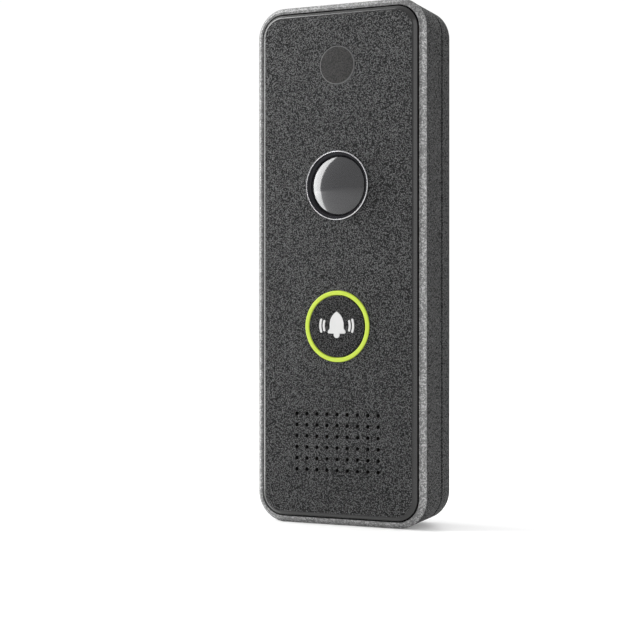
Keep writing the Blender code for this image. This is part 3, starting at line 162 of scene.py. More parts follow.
# How finely curves are divided
CORNER_STEPS = 20
SMALL_CORNER_STEPS = 4
FILLET_STEPS = 4
DOME_STEPS = 24
BELL_STEPS = 12
STROKE_STEPS = 10
STROKE_END_STEPS = 8
ROUND = 128
MEDIUM_ROUND = 64
SMALL_ROUND = 32
GRILLE_ROUND = 20

SHARP_ANGLE = math.radians(35)
FLAT_NORMAL = 0.98


def span(node, axis):
    """Lowest and highest value of a CAD node along x, up or out."""
    low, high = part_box(node)
    if axis == "x":
        return low.x, high.x
    if axis == "up":
        return low.z, high.z
    return -high.y, -low.y


def middle(node):
    """Where a CAD node's middle is across and up."""
    low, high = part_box(node)
    return (low.x + high.x) / 2, (low.z + high.z) / 2


def half_size(node):
    """Half a CAD node's size across and up."""
    low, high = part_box(node)
    return (high.x - low.x) / 2, (high.z - low.z) / 2


HOUSING_BACK = span("housing", "out")[0]
DECK_FRONT = span("housing", "out")[1]
DECK_BACK = DECK_FRONT - DECK_THICKNESS
BRACKET_FRONT = HOUSING_BACK - PARTING_GAP
BEZEL_BACK, BEZEL_FRONT = span("bezel", "out")
PANEL_BACK, PANEL_FACE = span("front_panel", "out")
OUTER = half_size("bezel")
PANEL = half_size("front_panel")
CAMERA_PLACE = middle("lens_dome")
WINDOW_PLACE = middle("sensor_window")
BUTTON_PLACE = middle("light_ring")
GRILLE_PLACE = (0.0, GRILLE_UP)
GRILLE_HALF_HEIGHT = GRILLE_PITCH[1] * GRILLE_ROWS / 2
LIGHT_RING_INNER = half_size("call_button")[0] + CLOSE + LIGHT_RING_SLACK
LIGHT_RING_OUTER = LIGHT_RING_INNER + LIGHT_RING_WIDTH


# ---------------------------------------------------------------- mesh making


def point(x, up, out):
    return (x, -out, up)


def finished(name, mesh):
    """An object whose rounded edges are shaded smooth and whose flat faces stay flat."""
    mesh.shade_smooth()
    mesh.set_sharp_from_angle(angle=SHARP_ANGLE)
    obj = bpy.data.objects.new(name, mesh)
    bpy.context.scene.collection.objects.link(obj)
    return obj


def mesh_from(bm, name):
    bmesh.ops.remove_doubles(bm, verts=bm.verts, dist=WELD)
    bmesh.ops.recalc_face_normals(bm, faces=bm.faces)
    mesh = bpy.data.meshes.new(name)
    bm.to_mesh(mesh)
    bm.free()
    return mesh


def filleted(corners, closed):
    """A profile of (u, v) points from (u, v, radius) corners, each rounded by its radius."""
    points = []
    last = len(corners) - 1
    for index, (u, v, radius) in enumerate(corners):
        if radius == 0 or (not closed and index in (0, last)):
            points.append((u, v))
            continue
        here = Vector((u, v))
        before = (Vector(corners[index - 1][:2]) - here).normalized()
        after = (Vector(corners[(index + 1) % len(corners)][:2]) - here).normalized()
        half = before.angle(after) / 2
        centre = here + (before + after).normalized() * (radius / math.sin(half))
        start = here + before * (radius / math.tan(half)) - centre
        turn = start.angle_signed(here + after * (radius / math.tan(half)) - centre)
        for step in range(FILLET_STEPS + 1):
            spoke = start.copy()
            spoke.rotate(Matrix.Rotation(-turn * step / FILLET_STEPS, 2))
            points.append(tuple(centre + spoke))
    return points


def arc(centre, radius, start, end, steps):
    angles = [start + (end - start) * step / steps for step in range(steps + 1)]
    return [(centre[0] + radius * math.cos(a), centre[1] + radius * math.sin(a)) for a in angles]


def circle(centre, radius, steps):
    return arc(centre, radius, 0, math.tau, steps)[:-1]


def rounded_rectangle(half, radius, at=(0, 0), steps=CORNER_STEPS):
    points = []
    for quarter, (x, up) in enumerate(((1, 1), (-1, 1), (-1, -1), (1, -1))):
        centre = (at[0] + x * (half[0] - radius), at[1] + up * (half[1] - radius))
        for step in range(steps + 1):
            angle = math.pi / 2 * (quarter + step / steps)
            points.append((centre[0] + radius * math.cos(angle), centre[1] + radius * math.sin(angle)))
    return points


def skinned(loops, closed):
    """A mesh over loops of equally many (x, up, out) points, and the rows of its vertices."""
    bm = bmesh.new()
    rows = [[bm.verts.new(point(*place)) for place in loop] for loop in loops]
    pairs = list(zip(rows, rows[1:]))
    if closed:
        pairs.append((rows[-1], rows[0]))
    count = len(rows[0])
    for first, second in pairs:
        for index in range(count):
            following = (index + 1) % count
            bm.faces.new((first[index], first[following], second[following], second[index]))
    return bm, rows


def bridged(name, loops, closed):
    """A skin over loops of points. An open one is capped at both ends."""
    bm, rows = skinned(loops, closed)
    if not closed:
        bm.faces.new(rows[0])
        bm.faces.new(rows[-1])
    return finished(name, mesh_from(bm, name))


def framed(name, half, radius, corners, closed=False, slack=0.0):
    """A rounded rectangle swept along a profile of (inset, out, fillet) corners. Up to slack, the inset
    leaves the corner radius as it is, as on a drafted side."""
    loops = []
    for inset, out in filleted(corners, closed):
        size = (half[0] - inset, half[1] - inset)
        corner = radius - max(0.0, inset - slack)
        loops.append([(x, up, out) for x, up in rounded_rectangle(size, corner)])
    return bridged(name, loops, closed)


def turned(name, corners, at, closed=True):
    """A turned piece from (radius, out, fillet) corners. An open one starts and ends on its axis."""
    loops = []
    for radius, out in filleted(corners, closed):
        loops.append([(x, up, out) for x, up in circle(at, radius, ROUND)])
    bm, _ = skinned(loops, closed)
    bmesh.ops.remove_doubles(bm, verts=bm.verts, dist=WELD)
    bmesh.ops.dissolve_degenerate(bm, edges=bm.edges, dist=WELD)
    return finished(name, mesh_from(bm, name))


def drill(radius, low, high, places, flare=0.0, sides=SMALL_ROUND):
    """Round cutters that stand out from the wall. A flare rounds the mouth that each leaves
    at height high."""
    corners = [(0, low), (radius, low)]
    if flare:
        for step in range(FILLET_STEPS + 1):
            angle = math.pi / 2 * step / FILLET_STEPS
            corners.append((radius + flare * (1 - math.cos(angle)), high - flare * (1 - math.sin(angle))))
        corners.append((radius + flare, high + SEAM))
        corners.append((0, high + SEAM))
    else:
        corners += [(radius, high), (0, high)]
    bm = bmesh.new()
    for place in places:
        rows = []
        for reach, out in corners:
            spots = circle(place, reach, sides if reach else 1)
            rows.append([bm.verts.new(point(x, up, out)) for x, up in spots])
        for first, second in zip(rows, rows[1:]):
            for index in range(sides):
                following = (index + 1) % sides
                corner_set = [first[index % len(first)], first[following % len(first)]]
                corner_set += [second[following % len(second)], second[index % len(second)]]
                bm.faces.new(list(dict.fromkeys(corner_set)))
    return finished("drill", mesh_from(bm, "drill"))


def rod(radius, first, second):
    """A round bar between two (x, up, out) points."""
    first, second = Vector(point(*first)), Vector(point(*second))
    run = second - first
    turn = run.to_track_quat("Z", "Y").to_matrix().to_4x4()
    bm = bmesh.new()
    bmesh.ops.create_cone(
        bm, cap_ends=True, segments=SMALL_ROUND, radius1=radius, radius2=radius, depth=run.length,
        matrix=Matrix.Translation((first + second) / 2) @ turn,
    )
    return finished("rod", mesh_from(bm, "rod"))


def block(half, low, high, at, radius, steps=CORNER_STEPS):
    """A block from height low to high, with rounded corners."""
    outline = rounded_rectangle(half, radius, at, steps)
    return bridged("block", [[(x, up, out) for x, up in outline] for out in (low, high)], closed=False)


def combine(obj, others, operation):
    """Cuts the others from a piece, or joins them to it, and leaves one plain mesh."""
    for other in others:
        modifier = obj.modifiers.new("combine", "BOOLEAN")
        modifier.operation = operation
        modifier.object = other
        modifier.solver = "EXACT"
    graph = bpy.context.evaluated_depsgraph_get()
    mesh = bpy.data.meshes.new_from_object(obj.evaluated_get(graph))
    obj.modifiers.clear()
    obj.data = mesh
    for other in others:
        bpy.data.objects.remove(other)
    mesh.shade_smooth()
    mesh.set_sharp_from_angle(angle=SHARP_ANGLE)


def cut(obj, *others):
    combine(obj, others, "DIFFERENCE")


def join(obj, *others):
    combine(obj, others, "UNION")


def even_shading(obj):
    """Lets the large flat faces set the normals, so that narrow rounded edges don't bend them."""
    modifier = obj.modifiers.new("even_shading", "WEIGHTED_NORMAL")
    modifier.weight = 100
    modifier.keep_sharp = True


def piece(obj, body, look, slot, *nodes):
    """Hands a finished piece to the frame: its body, its look and the CAD nodes it stands for, which it
    hides. Its slot is not used.
    """
    obj.data.materials.clear()
    for each in look if isinstance(look, list) else [look]:
        obj.data.materials.append(each)
    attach(obj, body)
    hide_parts(*nodes)


# ---------------------------------------------------------------- materials


class Look:
    """A node-based material, put together step by step. Its patterns use the piece's own coordinates."""

    def __init__(self, name):
        self.material = bpy.data.materials.new(name)
        self.material.use_nodes = True
        self.tree = self.material.node_tree
        self.shader = self.tree.nodes["Principled BSDF"]
        self.place = self.node("ShaderNodeTexCoord").outputs["Object"]

    def node(self, kind, inputs=None, **settings):
        made = self.tree.nodes.new(kind)
        for key, value in settings.items():
            setattr(made, key, value)
        for key, value in (inputs or {}).items():
            if isinstance(value, bpy.types.NodeSocket):
                self.tree.links.new(value, made.inputs[key])
            else:
                made.inputs[key].default_value = value
        return made

    def set(self, **values):
        for key, value in values.items():
            self.shader.inputs[key.replace("_", " ")].default_value = value

    def drive(self, socket, output):
        self.tree.links.new(output, self.shader.inputs[socket])

    def noise(self, size, detail=2.0, roughness=0.5, place=None):
        """Noise from 0 to 1 whose blobs are about size across."""
        inputs = {"Vector": place or self.place, "Scale": 1 / size, "Detail": detail, "Roughness": roughness}
        return self.node("ShaderNodeTexNoise", inputs).outputs["Fac"]

    def cells(self, size, feature="F1", output="Distance", smoothness=None):
        """A value of cells that are about size across."""
        inputs = {"Vector": self.place, "Scale": 1 / size}
        made = self.node("ShaderNodeTexVoronoi", inputs, feature=feature)
        if smoothness is not None:
            made.inputs["Smoothness"].default_value = smoothness
        return made.outputs[output]

    def spread(self, value, low, high, from_low=0.0, from_high=1.0):
        """Maps a value that runs from from_low to from_high to the range low to high."""
        inputs = {"Value": value, "From Min": from_low, "From Max": from_high, "To Min": low, "To Max": high}
        return self.node("ShaderNodeMapRange", inputs).outputs["Result"]

    def math(self, operation, first, second):
        return self.node("ShaderNodeMath", {0: first, 1: second}, operation=operation).outputs["Value"]

    def blend(self, share, first, second, mode="MIX"):
        """A colour between two, by a share from 0 to 1."""
        inputs = {0: share}
        for index, colour in ((6, first), (7, second)):
            inputs[index] = colour if isinstance(colour, bpy.types.NodeSocket) else (*colour, 1.0)
        return self.node("ShaderNodeMix", inputs, data_type="RGBA", blend_type=mode).outputs[2]

    def bump(self, height, depth):
        inputs = {"Height": height, "Distance": depth, "Strength": 1.0}
        return self.node("ShaderNodeBump", inputs).outputs["Normal"]


PLASTIC_WARMTH = -0.02
UNEVENNESS = 0.06


def grey(level, warmth=0.0):
    """A grey that warmth makes redder, or bluer where it is negative."""
    return (level * (1 + warmth), level, level * (1 - warmth))


def grained_plastic(name, level, grain, depth, roughness, shine):
    """Moulded plastic with a pebbly spark-eroded grain: shiny on its high points, dull in its pits, where
    painted shade darkens the colour.
    """
    look = Look(name)
    pebbles = look.cells(grain, feature="SMOOTH_F1", smoothness=0.25)
    fine = look.noise(grain * 0.55, detail=3.0, roughness=0.65)
    rise = look.math("SUBTRACT", look.math("MULTIPLY", fine, 1.2), look.math("MULTIPLY", pebbles, 0.7))
    unshaded_share = look.spread(rise, 0.0, 1.0, 0.18, 0.55)
    look.drive("Normal", look.bump(rise, depth))
    dark, light = grey(level * 0.85, PLASTIC_WARMTH), grey(level * 1.15, PLASTIC_WARMTH)
    body = look.blend(look.noise(22 * MM, detail=4.0), dark, light)
    # Painted shade: in the grain's pits the colour falls to 15% of the level.
    look.drive("Base Color", look.blend(unshaded_share, grey(level * 0.15, PLASTIC_WARMTH), body))
    look.drive("Specular IOR Level", look.spread(unshaded_share, shine * 0.05, shine))
    worn = look.noise(5 * MM, detail=3.0)
    look.drive("Roughness", look.spread(worn, roughness - UNEVENNESS, roughness + UNEVENNESS))
    return look.material


def smooth_plastic(name, colour, roughness, depth=0.01 * MM):
    """Plain moulded plastic with a faint unevenness."""
    look = Look(name)
    darker = tuple(channel * 0.86 for channel in colour)
    look.drive("Base Color", look.blend(look.noise(6 * MM, detail=4.0), darker, colour))
    worn = look.noise(1.5 * MM, detail=3.0)
    look.drive("Roughness", look.spread(worn, roughness - UNEVENNESS, roughness + UNEVENNESS))
    look.drive("Normal", look.bump(look.noise(0.35 * MM, detail=2.0), depth))
    return look.material


def flake_paint(name, level, flake, flake_highlight_strength):
    """Metallic paint with fine flakes, each with its own roughness. Painted highlights: a share of the
    flakes get a lighter base colour, standing in for flakes that catch the light.
    """
    look = Look(name)
    flakes = look.cells(flake, output="Color")
    share = look.node("ShaderNodeSeparateColor", {"Color": flakes}).outputs["Red"]
    bright = look.math("POWER", share, 3.0)
    base = look.blend(look.noise(12 * MM, detail=3.0), grey(level * 0.92), grey(level * 1.05))
    painted_flake_highlight = look.math("MULTIPLY", bright, flake_highlight_strength)
    # Painted highlight: the brightest flakes are added to the base colour as the light they catch.
    look.drive("Base Color", look.blend(painted_flake_highlight, base, grey(level * 1.6), mode="ADD"))
    look.drive("Roughness", look.spread(share, 0.46, 0.3))
    look.drive("Normal", look.bump(look.noise(flake, detail=3.0), 0.03 * MM))
    look.set(Metallic=0.75, Coat_Weight=0.25, Coat_Roughness=0.25)
    return look.material


def metal(name, colour, roughness, stretch=(1, 1, 1)):
    """Bare or plated metal, with fine tool marks that stretch makes longer along an axis."""
    look = Look(name)
    place = look.node("ShaderNodeMapping", {"Vector": look.place, "Scale": stretch}).outputs["Vector"]
    marks = look.noise(0.25 * MM, detail=4.0, roughness=0.6, place=place)
    darker = tuple(channel * 0.82 for channel in colour)
    look.drive("Base Color", look.blend(look.noise(3 * MM, detail=3.0), darker, colour))
    look.drive("Roughness", look.spread(marks, roughness - 0.08, roughness + 0.1))
    look.drive("Normal", look.bump(marks, 0.006 * MM))
    look.set(Metallic=1.0)
    return look.material


def smoked_glass():
    """The dome's dark glass, hazed a little and slightly see-through."""
    look = Look("smoked_glass")
    haze = look.noise(9 * MM, detail=5.0)
    look.drive("Base Color", look.blend(haze, (0.011, 0.011, 0.013), (0.02, 0.02, 0.022)))
    look.drive("Roughness", look.spread(look.noise(2.5 * MM, detail=4.0), 0.06, 0.12))
    look.set(IOR=1.58, Alpha=0.92, Coat_Weight=0.3, Coat_Roughness=0.03)
    return look.material


def window_filter():
    """The dark filter of the round window, with a fine grain."""
    look = Look("window_filter")
    grain = look.spread(look.noise(0.3 * MM, detail=3.0), 0.0, 1.0, 0.35, 0.65)
    look.drive("Base Color", look.blend(grain, grey(0.003, 0.02), grey(0.03, 0.03)))
    look.drive("Roughness", look.spread(look.noise(1.2 * MM, detail=3.0), 0.32, 0.42))
    look.drive("Normal", look.bump(look.noise(0.34 * MM, detail=3.0), 0.14 * MM))
    look.set(Specular_IOR_Level=0.25)
    return look.material


def lens_glass():
    """Coated lens glass. The coating's violet and green reflection is painted into the base colour."""
    look = Look("lens_glass")
    painted_coating_sheen = look.noise(2 * MM, detail=3.0)
    # Painted reflection: the coating's colours set as base colour.
    look.drive("Base Color", look.blend(painted_coating_sheen, (0.03, 0.02, 0.09), (0.02, 0.07, 0.08)))
    look.drive("Roughness", look.spread(look.noise(1 * MM), 0.02, 0.05))
    look.set(IOR=1.7, Coat_Weight=1.0, Coat_Roughness=0.02)
    return look.material


def lit_guide():
    """The lime light guide, lit from behind by its four lamps."""
    look = Look("lime_guide")
    soft = look.noise(3 * MM, detail=4.0)
    colour = look.blend(soft, (0.245, 0.315, 0.02), (0.28, 0.36, 0.032))
    look.drive("Base Color", colour)
    look.drive("Emission Color", colour)
    look.drive("Roughness", look.spread(soft, 0.3, 0.42))
    look.drive("Normal", look.bump(look.noise(0.3 * MM, detail=2.0), 0.01 * MM))
    look.set(Emission_Strength=0.75, Subsurface_Weight=0.2, Subsurface_Scale=0.5 * MM)
    return look.material


def rubber():
    look = Look("rubber")
    look.drive("Base Color", look.blend(look.noise(4 * MM, detail=4.0), grey(0.012), grey(0.024)))
    look.drive("Roughness", look.spread(look.noise(0.8 * MM, detail=3.0), 0.62, 0.82))
    look.drive("Normal", look.bump(look.noise(0.15 * MM, detail=2.0), 0.01 * MM))
    return look.material


def woven(name, thread, level):
    """Black acoustic cloth: threads that pass over and under each other."""
    look = Look(name)
    waves = []
    for axis in ("X", "Z"):
        inputs = {"Vector": look.place, "Scale": 1 / (thread * math.tau), "Distortion": 0.0}
        made = look.node("ShaderNodeTexWave", inputs, bands_direction=axis)
        waves.append(made.outputs["Fac"])
    height = look.math("MAXIMUM", *waves)
    look.drive("Normal", look.bump(height, 0.05 * MM))
    # Painted shade: the colour darkens in the weave's hollows between threads.
    look.drive("Base Color", look.blend(height, grey(level * 0.4), grey(level)))
    look.drive("Roughness", look.spread(height, 0.9, 0.7))
    return look.material


def foam():
    look = Look("foam")
    pores = look.cells(0.35 * MM)
    # Painted shade: the colour darkens towards the hollow middle of each pore.
    look.drive("Base Color", look.blend(pores, grey(0.008), grey(0.035)))
    look.drive("Normal", look.bump(pores, 0.1 * MM))
    look.drive("Roughness", look.spread(pores, 0.95, 0.8))
    return look.material


def circuit_board():
    """Green solder mask over copper tracks, with bare gold pads here and there."""
    look = Look("circuit_board")
    upright = {"Vector": look.place, "Rotation": (math.pi / 2, 0, 0)}
    inputs = {
        "Vector": look.node("ShaderNodeMapping", upright).outputs["Vector"],
        "Scale": 1.0,
        "Mortar Size": 0.12 * MM,
        "Brick Width": 2.6 * MM,
        "Row Height": 0.9 * MM,
    }
    tracks = look.node("ShaderNodeTexBrick", inputs).outputs["Fac"]
    mask = look.blend(tracks, (0.004, 0.07, 0.02), (0.012, 0.15, 0.05))
    pads = look.spread(look.cells(1.9 * MM), 1.0, 0.0, 0.12, 0.15)
    look.drive("Base Color", look.blend(pads, mask, (0.7, 0.5, 0.18)))
    look.drive("Metallic", pads)
    look.drive("Roughness", look.spread(look.noise(1 * MM), 0.25, 0.4))
    look.drive("Normal", look.bump(tracks, 0.03 * MM))
    return look.material


def wound_copper():
    look = Look("copper_wire")
    inputs = {"Vector": look.place, "Scale": 1 / (0.1 * MM * math.tau)}
    turns = look.node("ShaderNodeTexWave", inputs, bands_direction="Y").outputs["Fac"]
    # Painted shade: the colour darkens in the grooves between the wire's turns.
    look.drive("Base Color", look.blend(turns, (0.35, 0.12, 0.04), (0.85, 0.42, 0.2)))
    look.drive("Normal", look.bump(turns, 0.04 * MM))
    look.drive("Roughness", look.spread(turns, 0.4, 0.25))
    look.set(Metallic=1.0)
    return look.material


GRAPHITE = grained_plastic(
    "graphite_shell", level=0.09, grain=0.34 * MM, depth=0.8 * MM, roughness=0.34, shine=0.56
)
GRAPHITE_EDGE = smooth_plastic("graphite_edge", (0.006, 0.006, 0.006), 0.17)
GRAPHITE_SIDE = grained_plastic(
    "graphite_side", level=0.043, grain=0.42 * MM, depth=0.4 * MM, roughness=0.45, shine=0.6
)
CAP_BLACK = grained_plastic(
    "cap_black", level=0.025, grain=0.36 * MM, depth=0.7 * MM, roughness=0.36, shine=0.5
)
BRACKET_GREY = grained_plastic(
    "bracket_shell", level=0.038, grain=0.36 * MM, depth=0.25 * MM, roughness=0.47, shine=0.6
)
# The bezel's flakes carry painted highlights.
BEZEL_METAL = flake_paint("bezel_metal", level=0.115, flake=0.32 * MM, flake_highlight_strength=1.6)
RING_BRIGHT = metal("trim_metal", (0.5, 0.5, 0.51), 0.24)
# Near-black metal: painted shade on the trim ring's inward-facing slope.
RING_PAINTED_SHADE = metal("trim_painted_shade", (0.03, 0.03, 0.033), 0.3)
SMOKED = smoked_glass()
FILTER = window_filter()
# A lighter rim colour: painted highlight where the window's chamfered edge catches the light.
WINDOW_RIM_HIGHLIGHT = smooth_plastic("window_edge_painted_highlight", (0.1, 0.1, 0.101), 0.3)
GLASS = lens_glass()
LIME = lit_guide()
WHITE = smooth_plastic("white_plastic", (0.53, 0.53, 0.525), 0.45)
BLACK = smooth_plastic("black_plastic", (0.02, 0.02, 0.022), 0.45, 0.02 * MM)
TERMINAL = smooth_plastic("terminal_green", (0.02, 0.27, 0.1), 0.4, 0.02 * MM)
LED_WHITE = smooth_plastic("led_white", (0.85, 0.83, 0.66), 0.3)
CHIP = smooth_plastic("chip_black", (0.018, 0.018, 0.019), 0.5, 0.03 * MM)
FOIL = smooth_plastic("flex_foil", (0.5, 0.26, 0.05), 0.3)
STEEL = metal("steel", (0.6, 0.6, 0.62), 0.28)
CAN = metal("aluminium_can", (0.72, 0.72, 0.74), 0.32, stretch=(1, 0.1, 1))
COPPER = wound_copper()
RUBBER = rubber()
CLOTH = woven("acoustic_cloth", thread=0.16 * MM, level=0.005)
FOAM = foam()
CONE_FILM = smooth_plastic("cone_film", (0.03, 0.03, 0.032), 0.35, 0.03 * MM)
BOARD = circuit_board()


# ---------------------------------------------------------------- the pieces


def drafted(out):
    """How far the drafted side is inset at a height."""
    return DRAFT * (BEZEL_FRONT - out) / BEZEL_FRONT


def make_bezel():
    corners = [
        (0, BEZEL_BACK, 0),
        (0, BEZEL_FRONT - BEZEL_CHAMFER, EDGE_FULL),
        (BEZEL_CHAMFER, BEZEL_FRONT, EDGE_FULL),
        (BEZEL_WIDTH, BEZEL_FRONT, EDGE_LIP),
        (BEZEL_WIDTH, BEZEL_BACK, 0),
    ]
    obj = framed("bezel_frame", OUTER, CORNER_RADIUS, corners, closed=True)
    even_shading(obj)
    piece(obj, "unit", BEZEL_METAL, "bezel_metal", "bezel")


def grille_places():
    places = []
    for column in range(GRILLE_COLUMNS):
        for row in range(GRILLE_ROWS):
            x = (column - (GRILLE_COLUMNS - 1) / 2) * GRILLE_PITCH[0]
            places.append((x, GRILLE_UP + (row - (GRILLE_ROWS - 1) / 2) * GRILLE_PITCH[1]))
    return places


def make_panel():
    """The grained front panel, whose edge band and sound-hole mouths have the smooth edge look."""
    corners = [
        (PANEL_FOOT, PANEL_BACK, 0),
        (0, PANEL_BACK + PANEL_FOOT, 0),
        (0, PANEL_FACE - PANEL_BEVEL, PANEL_SHOULDER),
        (PANEL_BEVEL, PANEL_FACE, PANEL_ROUNDING),
        (PANEL_BEVEL + PANEL_FLAT, PANEL_FACE, 0),
    ]
    radius = CORNER_RADIUS - BEZEL_WIDTH - SEAM
    obj = framed("face_panel", PANEL, radius, corners)
    low = PANEL_BACK - SEAM
    window_radius = half_size("sensor_window")[0]
    pocket_floor = span("sensor_window", "out")[0] - CLOSE
    cut(
        obj,
        drill(TRIM_COLLAR_RADIUS + CLOSE, low, PANEL_FACE, [CAMERA_PLACE], EDGE_FINE, ROUND),
        drill(LIGHT_RING_OUTER + CLOSE, low, PANEL_FACE, [BUTTON_PLACE], EDGE_LIP, ROUND),
        drill(window_radius + CLOSE, pocket_floor, PANEL_FACE, [WINDOW_PLACE], EDGE_FINE, ROUND),
        drill(window_radius - SENSOR_LEDGE, low, PANEL_FACE, [WINDOW_PLACE], sides=MEDIUM_ROUND),
        drill(GRILLE_HOLE_RADIUS, low, PANEL_FACE, grille_places(), GRILLE_FLARE, GRILLE_ROUND),
    )
    even_shading(obj)
    piece(obj, "unit", [GRAPHITE, GRAPHITE_EDGE], "graphite_shell", "front_panel")
    flat = (PANEL[0] - PANEL_EDGE, PANEL[1] - PANEL_EDGE)
    inner = radius - PANEL_EDGE
    for face in obj.data.polygons:
        across = max(0.0, abs(face.center.x) - flat[0] + inner)
        along = max(0.0, abs(face.center.z) - flat[1] + inner)
        in_grille = abs(face.center.z - GRILLE_UP) < GRILLE_HALF_HEIGHT
        in_hole = abs(face.normal.y) < FLAT_NORMAL and in_grille
        face.material_index = 1 if in_hole or math.hypot(across, along) > inner else 0


def make_housing():
    ledge = span("rear_gasket", "out")[1] + SEAM
    corners = [
        (HOUSING_WALL + HOUSING_LEDGE, DECK_BACK, 0),
        (HOUSING_WALL + HOUSING_LEDGE, ledge, EDGE_FINE),
        (HOUSING_WALL, ledge, EDGE_FINE),
        (HOUSING_WALL, HOUSING_BACK, EDGE_FINE),
        (drafted(HOUSING_BACK), HOUSING_BACK, EDGE_SOFT),
        (drafted(DECK_FRONT), DECK_FRONT, EDGE_THIN),
        (HOUSING_WALL, DECK_FRONT, 0),
    ]
    obj = framed("housing_shell", OUTER, CORNER_RADIUS, corners, slack=DRAFT)
    bosses = [middle(f"cover_screw_{number}") for number in (1, 2, 3, 4)]
    standoffs = [middle(f"board_screw_{number}") for number in (1, 2)]
    board_front = span("main_board", "out")[1]
    for place in bosses:
        join(obj, rod(BOSS_RADIUS, (*place, ledge), (*place, DECK_BACK + SEAM)))
    for place in standoffs:
        join(obj, rod(STANDOFF_RADIUS, (*place, board_front + SEAM), (*place, DECK_BACK + SEAM)))
    screw_radius = SCREW_RADIUS + SCREW_CLEARANCE
    low, high = DECK_BACK - SEAM, PANEL_BACK
    mesh_half = half_size("speaker_mesh")
    opening = (mesh_half[0] - MESH_OVERLAP, mesh_half[1] - MESH_OVERLAP)
    window_hole = half_size("sensor_window")[0] - SENSOR_LEDGE
    microphone_out = sum(span("microphone", "out")) / 2
    port_top = span("microphone_boot", "up")[0] + CLOSE
    port_ends = ((0, -OUTER[1] - SEAM, microphone_out), (0, port_top, microphone_out))
    cut(
        obj,
        drill(screw_radius, BRACKET_FRONT, span("cover_screw_1", "out")[1] + SEAM, bosses),
        drill(screw_radius, board_front, span("board_screw_1", "out")[1] + SEAM, standoffs),
        drill(CAMERA_HOLE_RADIUS, low, high, [CAMERA_PLACE], sides=MEDIUM_ROUND),
        drill(window_hole, low, high, [WINDOW_PLACE], sides=MEDIUM_ROUND),
        drill(half_size("light_ring")[0] + SEAM, low, high, [BUTTON_PLACE], sides=MEDIUM_ROUND),
        block(opening, low, high, GRILLE_PLACE, OPENING_CORNER),
        rod(MICROPHONE_HOLE_RADIUS, *port_ends),
    )
    even_shading(obj)
    piece(obj, "unit", GRAPHITE_SIDE, "graphite_shell", "housing")


def hook(x, up):
    """An L-shaped hook: a stem through the rear cover and a lip that points up behind it."""
    seat = span("rear_cover", "out")[1] + SEAM
    top = seat + HOOK_LIP_THICKNESS
    half_width = HOOK_WIDTH / 2
    corner = (EDGE_SOFT, SMALL_CORNER_STEPS)
    stem_half = (half_width, HOOK_STEM / 2)
    stem = block(stem_half, BRACKET_BACK / 2, top, (x, up + HOOK_STEM / 2), *corner)
    lip_length = HOOK_STEM / 2 + HOOK_LIP
    lip_middle = up + HOOK_STEM / 2 + lip_length / 2
    return [stem, block((half_width, lip_length / 2), seat, top, (x, lip_middle), *corner)]


def make_bracket():
    shoulder = BRACKET_FRONT - SHADOW_LINE_WIDTH
    rim = drafted(BRACKET_FRONT) + SHADOW_LINE_DEPTH
    corners = [
        (BRACKET_WALL, BRACKET_BACK, 0),
        (BRACKET_WALL, BRACKET_FRONT, EDGE_SOFT),
        (rim, BRACKET_FRONT, EDGE_FINE),
        (rim, shoulder, EDGE_CRISP),
        (drafted(shoulder), shoulder, EDGE_SOFT),
        (drafted(0), 0, EDGE_FULL),
        (BRACKET_WALL, 0, 0),
    ]
    obj = framed("bracket_shell", OUTER, CORNER_RADIUS, corners, slack=DRAFT)
    slots = []
    half = (WALL_SLOT_WIDTH / 2, WALL_SLOT_LENGTH / 2)
    for end in (-1, 1):
        at = (0, end * WALL_SCREW_SPACING / 2)
        slots.append(block(half, -SEAM, BRACKET_FRONT, at, half[0] * SLOT_ROUNDNESS))
    half_opening = (CABLE_OPENING[0] / 2, CABLE_OPENING[1] / 2)
    opening = block(half_opening, -SEAM, BRACKET_FRONT, (0, CABLE_OPENING_UP), OPENING_CORNER)
    cut(obj, opening, *slots)
    for x in (-HOOK_X, HOOK_X):
        for up in HOOK_ROWS:
            join(obj, *hook(x, up))
    pad_low = -OUTER[1] + BRACKET_WALL / 2
    pad_top = -OUTER[1] + BRACKET_WALL + LOCK_PAD_THICKNESS
    pad_half = (LOCK_PAD_WIDTH / 2, (pad_top - pad_low) / 2)
    pad_at = (0, (pad_low + pad_top) / 2)
    join(obj, block(pad_half, BRACKET_BACK / 2, BRACKET_FRONT, pad_at, EDGE_SOFT, SMALL_CORNER_STEPS))
    screw_low, screw_high = span("lock_screw", "up")
    screw_out = sum(span("lock_screw", "out")) / 2
    head_radius = half_size("lock_screw")[0]
    head_top = screw_low + LOCK_SCREW_HEAD + CLOSE
    cut(
        obj,
        rod(head_radius + SCREW_CLEARANCE, (0, -OUTER[1] - MM, screw_out), (0, head_top, screw_out)),
        rod(SCREW_RADIUS + SCREW_CLEARANCE, (0, screw_low, screw_out), (0, screw_high, screw_out)),
    )
    even_shading(obj)
    piece(obj, "bracket", BRACKET_GREY, "bracket_shell", "wall_bracket")


